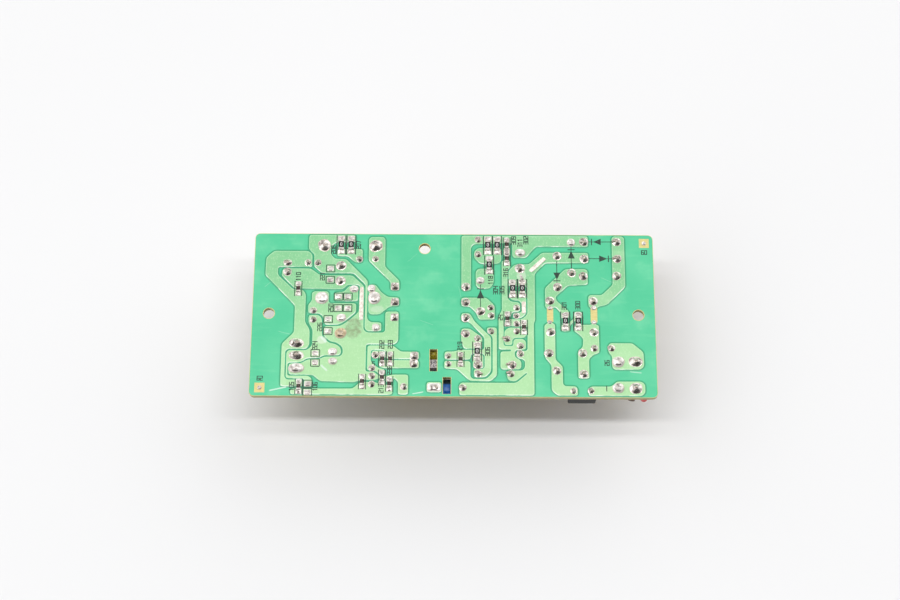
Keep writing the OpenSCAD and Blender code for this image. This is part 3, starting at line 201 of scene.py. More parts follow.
class Finish(Graph):
    """One procedural material. Places are in mm in the frame."""

    def __init__(self, name):
        self.material = bpy.data.materials.new(name)
        self.material.use_nodes = True
        super().__init__(self.material.node_tree)
        place = self.node("ShaderNodeTexCoord", output="Object")
        self.place = self.node("ShaderNodeVectorMath", {"operation": "SCALE"},
                               {0: place, "Scale": 1 / MM})
        self.x, self.y, self.z = (self.node("ShaderNodeSeparateXYZ", inputs={0: self.place},
                                            output=axis) for axis in "XYZ")

    def stretch(self, x=1, y=1, z=1):
        """The place, with each axis multiplied, for grain that runs one way."""
        return self.node("ShaderNodeVectorMath", {"operation": "MULTIPLY"},
                         {0: self.place, 1: (x, y, z)})

    def noise(self, scale, detail=2.0, place=None, seed=0.0):
        """Soft noise between 0 and 1, with so many lumps to the mm."""
        return self.node("ShaderNodeTexNoise", {"noise_dimensions": "4D"},
                         {"Vector": place or self.place, "W": seed, "Scale": scale,
                          "Detail": detail})

    def attribute(self, name):
        """A number that the mesh stores for each of its points."""
        return self.node("ShaderNodeAttribute", {"attribute_name": name}, output="Fac")

    def mix(self, share, first, second):
        """A colour between two colours."""
        return self.node("ShaderNodeMix", {"data_type": "RGBA"}, {0: share, 6: first, 7: second},
                         output=2)

    def surface(self, colour, roughness, metallic=0.0, relief=None, relief_mm=0.01, **constants):
        """The shader and the output. Relief is a height from 0 to 1, worth relief_mm."""
        inputs = {"Base Color": colour, "Roughness": roughness, "Metallic": metallic}
        if relief is not None:
            inputs["Normal"] = self.node("ShaderNodeBump", {}, {"Height": relief, "Strength": 1.0,
                                                                "Distance": relief_mm * MM})
        inputs.update({name.replace("_", " "): value for name, value in constants.items()})
        shader = self.node("ShaderNodeBsdfPrincipled", {}, inputs)
        self.node("ShaderNodeOutputMaterial", {}, {"Surface": shader})
        return self.material


# %% [markdown]
# ### Floor and room
#
# The floor is a big pale sheet, a little mottled, and its paint alone makes the background pale.
# The room is only a world colour. A picture of a studio could light the scene, but three soft
# walls are enough: each is brightest where the direction of the light points straight at it.

# %% The floor
FLOOR_HALF = 4.0
FLOOR_PAINTS = (0.785, 0.785, 0.79, 1), (0.795, 0.795, 0.8, 1)
floor_finish = Finish("floor_paint")
floor_mottle = floor_finish.noise(0.01, 3)
floor_mesh = bpy.data.meshes.new("floor")
floor_mesh.from_pydata([(x * FLOOR_HALF, y * FLOOR_HALF, 0)
                        for x, y in ((-1, -1), (1, -1), (1, 1), (-1, 1))], [], [(0, 1, 2, 3)])
floor_mesh.materials.append(floor_finish.surface(floor_finish.mix(floor_mottle, *FLOOR_PAINTS),
                                                 0.85, Specular_IOR_Level=0.2))
floor = bpy.data.objects.new("floor", floor_mesh)
bpy.context.scene.collection.objects.link(floor)
print("floor", 2 * FLOOR_HALF, "m square")

# %% The room
WALLS = [  # the wall's direction, where its light starts and is full, and its strength
    ((-1, 0, 0), 0.25, 0.75, 2.0), ((0.65, 0.75, 0), 0.3, 0.85, 1.8), ((0, 1, 0), 0.45, 0.8, 0.5)]
ELSEWHERE = 0.1
world = bpy.data.worlds.new("room")
bpy.context.scene.world = world
world.use_nodes = True
room = Graph(world.node_tree)
direction = room.node("ShaderNodeTexCoord", output="Generated")
walls = []
for towards, start, full, strength in WALLS:
    facing = room.node("ShaderNodeVectorMath", {"operation": "DOT_PRODUCT"},
                       {0: direction, 1: towards}, "Value")
    walls.append(room.node("ShaderNodeMapRange", {"interpolation_type": "SMOOTHSTEP"},
                           {"Value": facing, "From Min": start, "From Max": full,
                            "To Min": ELSEWHERE / len(WALLS), "To Max": strength}))
room_light = room.node("ShaderNodeBackground", {}, {"Strength": walls[0] + walls[1] + walls[2]})
room.node("ShaderNodeOutputWorld", {}, {"Surface": room_light})
print("room with", len(walls), "walls")

# %% [markdown]
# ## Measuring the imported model
#
# Better joints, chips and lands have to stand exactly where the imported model's own ones do. Their
# places could be written down again here, but two lists drift apart. So they are measured: each
# solid of a node is a group of connected points, and its box says where a better piece goes.


# %% Find the solids of a node
WELD_DISTANCE = 0.0005 * MM


def welded(node):
    """A node's mesh with its split points joined again."""
    mesh = bmesh.new()
    mesh.from_mesh(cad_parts[node].data)
    bmesh.ops.remove_doubles(mesh, verts=mesh.verts, dist=WELD_DISTANCE)
    mesh.verts.index_update()
    return mesh


def solids_of(node):
    """The box of each solid of a node, in layout mm: (x, y, width, depth, bottom, top)."""
    mesh = welded(node)
    seen, boxes = set(), []
    for first in mesh.verts:
        if first.index in seen:
            continue
        seen.add(first.index)
        queue, points = [first], []
        while queue:
            point = queue.pop()
            points.append(tuple(point.co))
            for edge in point.link_edges:
                other = edge.other_vert(point)
                if other.index not in seen:
                    seen.add(other.index)
                    queue.append(other)
        low, high = np.array(points).min(0) / MM, np.array(points).max(0) / MM
        boxes.append(((low[0] + high[0]) / 2 + BOARD_LENGTH / 2,
                      (low[1] + high[1]) / 2 + BOARD_WIDTH / 2,
                      high[0] - low[0], high[1] - low[1], low[2], high[2]))
    mesh.free()
    return sorted(boxes, key=lambda b: (round(b[0], 2), round(b[1], 2)))


# %% Find the outlines of a node's flat top
def top_outlines(node, height, slack=0.005):
    """The closed outlines of a node's faces at a height, in layout mm, as arrays of (x, y)."""
    mesh = welded(node)
    flat = {f.index for f in mesh.faces
            if f.normal.z > 0.99 and abs(f.calc_center_median().z / MM - height) < slack}
    after = {}
    for face in mesh.faces:
        if face.index not in flat:
            continue
        for loop in face.loops:
            if sum(f.index in flat for f in loop.edge.link_faces) == 1:
                after.setdefault(loop.vert.index, []).append(loop.link_loop_next.vert.index)
    place = {v.index: to_layout(v.co) for v in mesh.verts}
    mesh.free()
    outlines = []
    for start in sorted(after):
        while after[start]:
            outline, here = [], start
            while after.get(here):
                outline.append(place[here])
                here = after[here].pop()
            outlines.append(np.array(outline))
    return outlines


def area_of(outline):
    """The area inside a closed outline, below 0 where it runs clockwise, as holes do."""
    x, y = outline[:, 0], outline[:, 1]
    return 0.5 * float(np.sum(x * np.roll(y, -1) - np.roll(x, -1) * y))


copper_outlines = [o for o in top_outlines("copper_tracks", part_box("copper_tracks")[1].z / MM)
                   if area_of(o) > 0]
board_outlines = top_outlines("board", FACE)
joint_boxes = solids_of("solder_joints")
print("copper islands:", len(copper_outlines), "board outlines:", len(board_outlines),
      "joints:", len(joint_boxes))

# %% [markdown]
# ## The lacquered face
#
# The copper is a foil of odd-shaped islands, and one coat of green lacquer covers islands and bare
# laminate alike. Over copper it looks pale and a little yellow, over laminate mint, and in the
# step beside each edge it pools and looks dark. A texture can't know where the edges are, so the
# coat is made as one fine sheet: a triangulation that keeps every copper edge as a line, with each
# point raised by how far it is from copper. The same distance is stored for the colours.
#
# The dark printing, the clear windows and the gaps round the holes are lines in the same sheet.
# A triangle inside a printed shape gets the ink, and one inside a window is left out.


# %% Helpers that change an outline
def resampled(outline, step):
    """The same closed outline, with its points no further apart than step."""
    points = []
    for a, b in zip(outline, np.roll(outline, -1, 0)):
        count = max(1, math.ceil(np.linalg.norm(b - a) / step))
        points.extend(a + (b - a) * i / count for i in range(count))
    return np.array(points)


def moved_out(outline, distance):
    """The outline with each point moved along its outward normal."""
    along = np.roll(outline, -1, 0) - np.roll(outline, 1, 0)
    along = along / np.linalg.norm(along, axis=1)[:, None]
    return outline + distance * np.column_stack((along[:, 1], -along[:, 0]))


# %% Helpers that compare points with an outline
def inside(points, outline):
    """Which points lie inside a closed outline."""
    a, b = outline, np.roll(outline, -1, 0)
    x, y = points[:, :1], points[:, 1:]
    crosses = (a[:, 1] > y) != (b[:, 1] > y)
    rise = np.where(b[:, 1] == a[:, 1], 1e-12, b[:, 1] - a[:, 1])
    return (crosses & (x < a[:, 0] + (y - a[:, 1]) / rise * (b[:, 0] - a[:, 0]))).sum(1) % 2 == 1


def distance_to(points, outlines, at_once=500):
    """How far each point is from the nearest edge of the outlines."""
    a = np.vstack(outlines)
    b = np.vstack([np.roll(o, -1, 0) for o in outlines])
    run = b - a
    length = np.maximum((run ** 2).sum(1), 1e-12)
    nearest = np.full(len(points), 1e9)
    for start in range(0, len(points), at_once):
        some = slice(start, start + at_once)
        step = points[some, None, :] - a
        share = np.clip((step * run).sum(2) / length, 0, 1)[..., None]
        nearest[some] = np.sqrt(((step - share * run) ** 2).sum(2)).min(1)
    return nearest


# %% Simple shapes
def bar_shape(start, end, width):
    """A thin rectangle from one point to another."""
    start, end = np.array(start, float), np.array(end, float)
    along = (end - start) / np.linalg.norm(end - start)
    across = np.array((-along[1], along[0])) * width / 2
    return np.array((start - across, end - across, end + across, start + across))


def box_shape(x, y, width, depth):
    """A box round a middle."""
    return np.array([(x + sx * width / 2, y + sy * depth / 2)
                     for sx, sy in ((-1, -1), (1, -1), (1, 1), (-1, 1))])


# %% [markdown]
# ### What is printed on the solder face
#
# Such boards carry a diode symbol where each diode lies on the other side, a frame round each
# chip, and a small number beside it. Blender's text objects could draw the numbers, but their
# curves would need hundreds of points each. Straight strokes look the same at this size, so each
# plain position number is a few thin bars.

# %% Numbers as thin bars, in layout mm
STROKES = {  # digits on a grid 2 wide and 4 high
    "0": [((0, 0), (2, 0)), ((2, 0), (2, 4)), ((2, 4), (0, 4)), ((0, 4), (0, 0))],
    "1": [((1, 0), (1, 4)), ((1, 4), (0.3, 3.3))],
    "2": [((0, 4), (2, 4)), ((2, 4), (2, 2)), ((2, 2), (0, 2)), ((0, 2), (0, 0)), ((0, 0), (2, 0))],
    "3": [((0, 4), (2, 4)), ((2, 4), (2, 0)), ((0, 2), (2, 2)), ((0, 0), (2, 0))],
    "4": [((0, 4), (0, 2)), ((0, 2), (2, 2)), ((2, 4), (2, 0))],
    "5": [((2, 4), (0, 4)), ((0, 4), (0, 2)), ((0, 2), (2, 2)), ((2, 2), (2, 0)), ((2, 0), (0, 0))],
    "6": [((2, 4), (0, 4)), ((0, 4), (0, 0)), ((0, 0), (2, 0)), ((2, 0), (2, 2)), ((2, 2), (0, 2))],
    "7": [((0, 4), (2, 4)), ((2, 4), (1, 0))],
    "8": [((0, 0), (2, 0)), ((2, 0), (2, 4)), ((2, 4), (0, 4)), ((0, 4), (0, 0)), ((0, 2), (2, 2))],
    "9": [((0, 0), (2, 0)), ((2, 0), (2, 4)), ((2, 4), (0, 4)), ((0, 4), (0, 2)), ((0, 2), (2, 2))],
}


def number_shapes(text, x, y, height, turn, stroke):
    """A number centred on (x, y), as thin bars. Turn is in quarter turns to the left."""
    unit, shapes = height / 4, []
    cos, sin = ((1, 0), (0, 1), (-1, 0), (0, -1))[turn]
    left = -(len(text) * 3 - 1) / 2
    for i, digit in enumerate(text):
        for ends in STROKES[digit]:
            a, b = (((left + 3 * i + p[0]) * unit, (p[1] - 2) * unit) for p in ends)
            grow = stroke / 2 / math.dist(a, b)
            a, b = ((a[0] + (a[0] - b[0]) * grow, a[1] + (a[1] - b[1]) * grow),
                    (b[0] + (b[0] - a[0]) * grow, b[1] + (b[1] - a[1]) * grow))
            shapes.append(bar_shape(*((x + p[0] * cos - p[1] * sin, y + p[0] * sin + p[1] * cos)
                                      for p in (a, b)), stroke))
    return shapes


# %% Diode symbols and frames
SYMBOL_STROKE, WIRE_STROKE, FRAME_STROKE = 0.3, 0.22, 0.3


def diode_shapes(base, apex, bar_end, line_from, line_to, half=1.05):
    """A diode symbol: a triangle, the bar at its tip, and the wire through both."""
    base, apex, bar_end = (np.array(p, float) for p in (base, apex, bar_end))
    way = (apex - base) / np.linalg.norm(apex - base)
    across = np.array((-way[1], way[0]))
    triangle = np.array((base - across * half, base + across * half, apex))
    if area_of(triangle) < 0:
        triangle = triangle[::-1]
    return [triangle, bar_shape(bar_end - across * half, bar_end + across * half, SYMBOL_STROKE),
            bar_shape(line_from, line_to, WIRE_STROKE)]


def frame_shapes(x, y, size, stroke=FRAME_STROKE, closed=False):
    """The two long sides of a box as bars, or all four sides where it is closed."""
    left, right, low, high = x - size[0] / 2, x + size[0] / 2, y - size[1] / 2, y + size[1] / 2
    sides = [((left, low), (left, high)), ((right, low), (right, high))]
    if closed:
        sides += [((left, low), (right, low)), ((left, high), (right, high))]
    return [bar_shape(start, end, stroke) for start, end in sides]


# %% Print the face
large_chips = solids_of("large_chip_bodies")
small_chips = solids_of("small_chip_bodies")
POSITION_NUMBERS = [  # number, x, y, quarter turns
    ("110", 13.4, 37.9, 1), ("221", 20.6, 38.0, 1), ("250", 23.4, 27.8, 1), ("226", 20.3, 21.7, 1),
    ("224", 19.0, 15.8, 1), ("105", 12.5, 3.0, 1), ("106", 19.4, 3.0, 1), ("207", 31.2, 48.3, 1),
    ("208", 23.7, 46.7, 1), ("232", 38.8, 16.2, 1), ("233", 41.3, 16.3, 1), ("236", 41.2, 8.2, 1),
    ("213", 38.8, 2.4, 1), ("5", 36.4, 10.2, 0), ("309", 78.0, 50.0, 1), ("311", 79.9, 49.2, 1),
    ("302", 81.7, 50.1, 1), ("316", 75.6, 39.5, 1), ("304", 72.5, 33.8, 1), ("305", 74.4, 33.8, 1),
    ("118", 71.0, 37.0, 1), ("306", 70.1, 14.2, 1), ("219", 61.9, 15.9, 1), ("24", 73.9, 25.0, 1),
    ("301", 92.9, 28.9, 1), ("300", 97.0, 29.1, 1), ("26", 105.3, 10.8, 1), ("62", 3.1, 5.5, 0),
    ("60", 117.3, 46.3, 0),
]
NUMBER_HEIGHT, NUMBER_STROKE = 1.25, 0.25
DIODES = [  # the triangle's base and tip, the bar's middle, and both ends of the wire
    ((104.3, 49.7), (102, 49.7), (101.5, 49.7), (99.9, 49.7), (107.6, 49.7)),
    ((103.7, 44.2), (106.2, 44.2), (106.5, 44.2), (99.9, 44.2), (107.6, 44.2)),
    ((95.3, 44.2), (95.3, 46.8), (95.3, 47.1), (95.3, 40.6), (95.3, 48.4)),
    ((90.9, 39.6), (90.9, 37.2), (90.9, 36.9), (90.9, 43.3), (90.9, 36.2)),
    ((68, 31.1), (68, 33.9), (68, 34.2), (68, 27.6), (68, 35.6)),
]
WIRE_MARK = (105, 1.9), (105, 3.7)  # a dash between the two wires' joints
LARGE_FRAME, SMALL_FRAME, LAND_FRAME = (2.65, 6.3), (2.1, 4.9), (2.55, 2.25)
LONE_LAND = np.array((2.1, 1.8))  # a chip's land that was left without a chip

ink_shapes = []
for text, x, y, turn in POSITION_NUMBERS:
    ink_shapes += number_shapes(text, x, y, NUMBER_HEIGHT, turn, NUMBER_STROKE)
for places in DIODES:
    ink_shapes += diode_shapes(*places)
ink_shapes.append(bar_shape(*WIRE_MARK, NUMBER_STROKE))
for x, y, *rest in large_chips:
    ink_shapes += frame_shapes(x, y, LARGE_FRAME)
for x, y, *rest in small_chips:
    ink_shapes += frame_shapes(x, y, SMALL_FRAME, 0.8 * FRAME_STROKE)
for x, y, width, depth, *rest in solids_of("tinned_areas"):
    if (abs(LONE_LAND - (width, depth)) < 0.05).all():
        ink_shapes += frame_shapes(x, y, LAND_FRAME, 0.26, closed=True)
print("printed shapes:", len(ink_shapes))

# %% [markdown]
# ### The sheet
#
# A fine even grid would need millions of triangles to follow the copper. Instead rings of points
# follow each copper edge closely, so the step has a smooth slope, and a coarse grid fills the
# rest. The triangulation puts a point wherever two lines cross, so each point's height and
# distance are worked out after it, from where it is.

# %% Lines that the sheet keeps
RING_SPACING, HOLE_SPACING = 0.8, 0.6  # mm between points on a line
COAT = 0.02  # mm of lacquer on the laminate
COPPER_RISE = (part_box("copper_tracks")[1].z / MM - FACE) + COAT
BARE_RIM, BARE_ROUND_HOLES, SMALLEST_CUT_OUT = 0.12, 0.16, 3  # mm, mm and square mm
WINDOWS = [box_shape(3.1, 2.6, 3, 3), box_shape(117.3, 49.3, 3, 3),
           box_shape(88.7, 25.9, 1.9, 4.4), box_shape(101.75, 25.9, 2.0, 4.6)]

outer_edge = max(board_outlines, key=area_of)
cut_outs = [o for o in board_outlines if area_of(o) < -SMALLEST_CUT_OUT]
openings = WINDOWS + [resampled(moved_out(o, -BARE_ROUND_HOLES), HOLE_SPACING)[::-1]
                      for o in cut_outs]
sheet_edge = resampled(moved_out(outer_edge, -BARE_RIM), RING_SPACING)
copper_rings = [resampled(o, RING_SPACING) for o in copper_outlines]

sheet_points, sheet_lines = [], []
for outline in copper_rings + openings + [sheet_edge] + ink_shapes:
    first = len(sheet_points)
    sheet_points.extend(map(tuple, outline))
    sheet_lines.extend((first + i, first + (i + 1) % len(outline)) for i in range(len(outline)))
print("lines:", len(sheet_lines), "cut-outs:", len(cut_outs))

# %% Points between the lines, and the triangles
RING_DISTANCES = (-0.2, 0.1, 0.26, 0.5, 1.0)  # inside and outside the copper's edge
TOO_NEAR = 0.93  # a ring's point goes when another edge is nearer than this share of its own
GRID_SPACING, GRID_START, GRID_CLEARANCE = 1.3, 0.7, 0.6
loose = []
for outline in copper_rings:
    for distance in RING_DISTANCES:
        ring = moved_out(outline, distance)
        loose.append(ring[distance_to(ring, copper_rings) > abs(distance) * TOO_NEAR])
grid = np.array([(x, y) for x in np.arange(GRID_START, BOARD_LENGTH, GRID_SPACING)
                 for y in np.arange(GRID_START, BOARD_WIDTH, GRID_SPACING)])
loose.append(grid[distance_to(grid, copper_rings) > GRID_CLEARANCE])
loose = np.vstack(loose)
loose = loose[inside(loose, sheet_edge)]
sheet_points.extend(map(tuple, loose))
corners, _, triangles, *_ = geometry.delaunay_2d_cdt([Vector(p) for p in sheet_points],
                                                     sheet_lines, [], 0, 1e-5, False)
corners = np.array([tuple(c) for c in corners])
triangles = np.array([tuple(t) for t in triangles])
print("points:", len(corners), "triangles:", len(triangles))


# %% How far each point is inside the copper, and how high it lies
def copper_depth(points):
    """How far inside the copper each point is, and below 0 outside it."""
    depth, on_copper = distance_to(points, copper_rings), np.zeros(len(points), bool)
    for outline in copper_rings:
        near = ((points >= outline.min(0)) & (points <= outline.max(0))).all(1)
        on_copper[near] |= inside(points[near], outline)
    return np.where(on_copper, depth, -depth)


STEP_START, STEP_WIDTH = 0.02, 0.26  # the lacquer's slope beside the copper's edge
EDGE_REACH, PROBE = 0.3, 0.06  # where an edge counts as near, and how far each way it is probed
from_copper = copper_depth(corners)
by_edge = np.flatnonzero(np.abs(from_copper) < EDGE_REACH)
faces_near_side = np.zeros(len(corners))
faces_near_side[by_edge] = (copper_depth(corners[by_edge] + (0, PROBE))
                            - copper_depth(corners[by_edge] - (0, PROBE))) / (2 * PROBE)
slope = np.clip(1 + (from_copper - STEP_START) / STEP_WIDTH, 0, 1)
heights = FACE + COAT + (COPPER_RISE - COAT) * slope * slope * (3 - 2 * slope)
print("points on copper:", int((from_copper > 0).sum()), "by an edge:", len(by_edge))

# %% Which triangles are lacquer, which are ink, and which are left out
centres = corners[triangles].mean(1)
keep = inside(centres, sheet_edge)
for outline in openings:
    near = ((centres >= outline.min(0)) & (centres <= outline.max(0))).all(1)
    keep[near] &= ~inside(centres[near], outline)
printed = np.zeros(len(centres), bool)
for shape in ink_shapes:
    near = np.flatnonzero(((centres >= shape.min(0)) & (centres <= shape.max(0))).all(1))
    printed[near] |= inside(centres[near], shape)
print("triangles kept:", int(keep.sum()), "printed:", int(printed.sum()))


# %% Make a piece that rides on the board
def put(name, vertices, faces, materials, replaces=(), face_materials=None,
        attributes=None):
    """A new smooth piece from points in metres, faces, and numbers stored for each point."""
    mesh = bpy.data.meshes.new(name)
    mesh.from_pydata([tuple(map(float, v)) for v in vertices], [],
                     [tuple(map(int, f)) for f in faces])
    for material in materials:
        mesh.materials.append(material)
    if face_materials is not None:
        mesh.polygons.foreach_set("material_index", np.array(face_materials, np.int32))
    mesh.polygons.foreach_set("use_smooth", np.ones(len(mesh.polygons), bool))
    for key, values in (attributes or {}).items():
        mesh.attributes.new(key, "FLOAT", "POINT").data.foreach_set(
            "value", np.array(values, np.float32))
    mesh.validate()
    mesh.update()
    piece = bpy.data.objects.new(name, mesh)
    bpy.context.scene.collection.objects.link(piece)
    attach(piece, "root")
    if replaces:
        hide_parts(*replaces)
    print(name, "has", len(mesh.polygons), "faces")


# %% [markdown]
# ### Lacquer
#
# Lacquer is a thin green glass, and a real one could be made of a clear coat over copper. At this
# size only its colour shows, so the colour is a chain of mixes led by the stored distance: mint on
# laminate, pale on copper, and a dark line in the step. Light is painted into it too: a whitish
# sheen, copper that is darker towards the far side, a pale highlight inside each copper edge, and a
# brighter highlight on copper edges that face the near side, where they would catch the light.

# %% The lacquer's colours
lacquer = Finish("green_lacquer")
edge = lacquer.attribute("from_copper")
cloud = lacquer.noise(0.09, 3, seed=1)
fine = lacquer.noise(1.4, 3, seed=2)
sheen_streak = lacquer.noise(0.5, 4, lacquer.stretch(0.22, 1.5, 1), seed=8)
sheen_haze = lacquer.noise(0.16, 5, seed=9)

# Haze and streaks lighten the mint towards a whitish green: a painted sheen on the lacquer.
mint = lacquer.mix(cloud.step(0.35, 0.7), linear(76, 193, 145), linear(90, 200, 152))
mint = lacquer.mix(sheen_haze.step(0.5, 0.72) * 0.24 + sheen_streak.step(0.5, 0.75) * 0.12, mint,
                   linear(142, 222, 178))

# The pale over copper is painted darker towards the far side, as shade.
far_side_shade = lacquer.y.step(-14, 14)
pale = lacquer.mix(far_side_shade, linear(166, 214, 158), linear(132, 198, 144))
pale = lacquer.mix(cloud.step(0.45, 0.8) * 0.35, pale, linear(192, 230, 184))
weave = lacquer.noise(2.6, 3, lacquer.stretch(1, 0.7, 1), seed=10)
# The streaks lighten the pale over copper too: the same painted sheen.
pale = lacquer.mix(weave.step(0.5, 0.7) * 0.3 + sheen_streak.step(0.5, 0.75) * 0.15, pale,
                   linear(206, 236, 196))
print("lacquer nodes so far:", len(lacquer.tree.nodes))

# %% The lacquer beside an edge, led by the distance in mm
coat = lacquer.mix(edge.step(-0.03, 0.04), mint, pale)
pool = edge.step(-0.62, -0.2) * (1 - edge.step(-0.1, 0.05))
coat = lacquer.mix(pool * 0.85, coat, linear(46, 142, 98))
# A pale band just inside each copper edge: a painted highlight.
rim = edge.step(-0.02, 0.04) * (1 - edge.step(0.1, 0.3))
coat = lacquer.mix(rim * 0.35, coat, linear(206, 238, 200))
near_side = lacquer.attribute("faces_near_side")
# Copper edges that face the near side get a painted highlight.
painted_gleam = edge.step(-0.16, -0.04) * (1 - edge.step(0.06, 0.2)) * near_side.step(0.1, 0.7)
coat = lacquer.mix(painted_gleam * lacquer.noise(0.22, 3, seed=11).step(0.42, 0.56) * 0.8, coat,
                   linear(232, 246, 230))
print("lacquer nodes so far:", len(lacquer.tree.nodes))

# %% [markdown]
# ### Wear on the lacquer
#
# A board that was mended has a brown patch where a joint was reworked, faint clouds where flux
# dried, and scratches. They could be painted by hand, but a mask worked out from a place and a
# size keeps its place when the board is changed, and noise gives it a ragged edge.


# %% Masks for blots and scratches
def strongest(masks):
    """The greatest of several masks at each place."""
    found, *others = masks
    for other in others:
        found = found.most(other)
    return found


def blot(finish, x, y, across, depth, rough):
    """1 in the middle of a ragged blot on the board, at a place in layout mm, and 0 outside it."""
    dx = (finish.x - (x - BOARD_LENGTH / 2)) / across
    dy = (finish.y - (y - BOARD_WIDTH / 2)) / depth
    ragged = (finish.noise(0.9, 4, seed=x) - 0.5) * rough
    return (dx * dx + dy * dy + ragged * 2).step(1.15, 0.45)


def scratch(finish, start, end, width):
    """1 on a thin line between two places in layout mm."""
    (x0, y0), (x1, y1) = start, end
    length = math.dist(start, end)
    cos, sin = (x1 - x0) / length, (y1 - y0) / length
    dx, dy = finish.x - (x0 - BOARD_LENGTH / 2), finish.y - (y0 - BOARD_WIDTH / 2)
    along, off = dx * cos + dy * sin, dx * -sin + dy * cos
    wander = (finish.noise(0.5, 2, seed=x0) - 0.5) * 0.5
    ends = along.step(-0.2, 0.3) * along.step(length + 0.2, length - 0.3)
    return abs(off + wander).step(width, width * 0.3) * ends


# %% The wear, and the finished lacquer
SCRATCHES = [  # from, to, width, and how plain it is
    ((6, 1.7), (11, 2.8), 0.3, 1), ((48, 0.9), (51.2, 1.5), 0.22, 1),
    ((21, 9.7), (22.8, 7.9), 0.42, 1), ((20.6, 18.6), (22.4, 16.9), 0.5, 1),
    ((112, 8.1), (115.4, 7.8), 0.24, 0.6), ((8, 20.3), (11.5, 19.4), 0.12, 0.3),
    ((3.4, 34.5), (5.2, 36), 0.1, 0.3), ((50, 24), (54, 22.6), 0.1, 0.25),
    ((61.5, 35), (62.4, 30), 0.09, 0.25), ((98, 12), (101, 13.5), 0.1, 0.35),
    ((104, 38), (108, 36.4), 0.1, 0.3), ((46, 43), (49, 45.5), 0.1, 0.2),
]
SCORCHES = [  # x, y, across, depth, how ragged, and how plain it is
    (30.3, 21.3, 2.6, 3.6, 0.9, 1), (28.4, 20.1, 1.5, 1.4, 0.8, 0.8)]
FLUX_CLOUDS = [
    (20.9, 17.6, 1.6, 1.3, 0.5, 1), (37.2, 27.5, 2.2, 1.2, 0.5, 0.6),
    (80.2, 38.6, 1.5, 2.2, 0.5, 0.8)]
scorch, flux = (strongest([blot(lacquer, *place) * share for *place, share in blots])
                for blots in (SCORCHES, FLUX_CLOUDS))
marks = strongest([scratch(lacquer, start, end, width) * share
                   for start, end, width, share in SCRATCHES])
soot = lacquer.noise(0.9, 4, seed=12).step(0.3, 0.75) * 0.5 + fine.step(0.3, 0.7) * 0.2 + 0.1
coat = lacquer.mix(scorch * soot * 0.85, coat, linear(116, 98, 76))
coat = lacquer.mix(flux * 0.6, coat, linear(214, 226, 206))
coat = lacquer.mix(marks * 0.75, coat, linear(214, 232, 220))
lacquer_material = lacquer.surface(coat, fine * 0.12 + 0.27 + scorch * 0.3 + marks * 0.2,
                                   relief=lacquer.noise(2.2, 2, seed=3) * 0.6 + cloud * 0.4,
                                   relief_mm=0.012, Specular_IOR_Level=0.5)
print("lacquer nodes:", len(lacquer.tree.nodes), "scratches:", len(SCRATCHES))

# %% [markdown]
# ### Ink, bare laminate, and the sheet itself
#
# The ink is nearly the lacquer's own green, only darker, and worn thin in places. The laminate is
# woven glass in yellow resin: its threads show faintly on the faces, and its sawn edges show it in
# layers. One noise that is stretched along the threads or squashed into layers gives both.

# %% Ink
ink = Finish("dark_ink")
ink_wear = ink.noise(2.5, 4, seed=4)
ink_material = ink.surface(
    ink.mix(ink_wear.step(0.5, 0.75), linear(22, 50, 38), linear(56, 108, 80)),
    ink_wear * 0.2 + 0.4)
print("ink nodes:", len(ink.tree.nodes))

# %% Bare laminate
laminate = Finish("bare_laminate")
fibre = laminate.noise(0.6, 5, laminate.stretch(1, 6, 1), seed=5)
speck = laminate.noise(3.5, 3, seed=6)
side_on = laminate.z.step(UNDERSIDE - 0.01, UNDERSIDE + 0.02) * laminate.z.step(FACE, FACE - 0.03)
board_colour = laminate.mix(fibre.step(0.3, 0.7), linear(222, 208, 140), linear(206, 190, 122))
layers = laminate.noise(0.8, 3, laminate.stretch(0.3, 0.3, 7), seed=7)
sawn = laminate.mix(layers.step(0.35, 0.65), linear(196, 190, 146), linear(168, 158, 112))
board_colour = laminate.mix(side_on, board_colour, sawn)
board_colour = laminate.mix(speck.step(0.58, 0.75) * 0.3, board_colour, linear(240, 226, 170))
laminate_material = laminate.surface(board_colour, speck * 0.2 + 0.5,
                                     relief=layers * side_on + speck * 0.3, relief_mm=0.03)


def dress(material, *nodes):
    """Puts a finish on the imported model's own pieces."""
    for node in nodes:
        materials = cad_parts[node].data.materials
        materials.clear()
        materials.append(material)
    print(material.name, "on", *nodes)


dress(laminate_material, "board")

# %% The sheet as a piece
layout_middle = (BOARD_LENGTH / 2, BOARD_WIDTH / 2)
put("lacquer_and_printing", np.column_stack(((corners - layout_middle) * MM, heights * MM)),
    triangles[keep], [lacquer_material, ink_material], ["copper_tracks"],
    printed[keep], {"from_copper": from_copper, "faces_near_side": faces_near_side})

# %% [markdown]
# ## Solder joints
#
# Solder wets a land and climbs the lead, slowly at first and then steeply, and the cut end of the
# lead stands out of the top. One modelled joint could be copied to every place, but no two real
# joints are alike. So each is a net of rings round its own centre, from the edge of the land to
# the lead, with its own lean and lumps from one seed. Wide joints that were made by hand are round
# heaps instead.

# %% Rings
dice = np.random.default_rng(14)
SECTORS = 24
ANGLES = np.arange(SECTORS) * 2 * math.pi / SECTORS
ROUND_ABOUT = np.column_stack((np.cos(ANGLES), np.sin(ANGLES)))
COPPER_TOP = FACE + COPPER_RISE - COAT
SINK = 0.03  # how far solder reaches into the coat, so that no gap shows
print("solder stands on", round(COPPER_TOP, 3), "mm")


def wobble(amount, waves=(1, 2, 3, 5)):
    """A small uneven share for each sector round a ring."""
    return sum(amount / wave * np.sin(wave * ANGLES + dice.uniform(0, 7)) for wave in waves)


def rim_reach(width, depth, corner_power):
    """How far the rim is from the centre in each sector. 2 is an oval, and more is squarer."""
    return ((np.abs(np.cos(ANGLES)) / (width / 2)) ** corner_power
            + (np.abs(np.sin(ANGLES)) / (depth / 2)) ** corner_power) ** (-1 / corner_power)


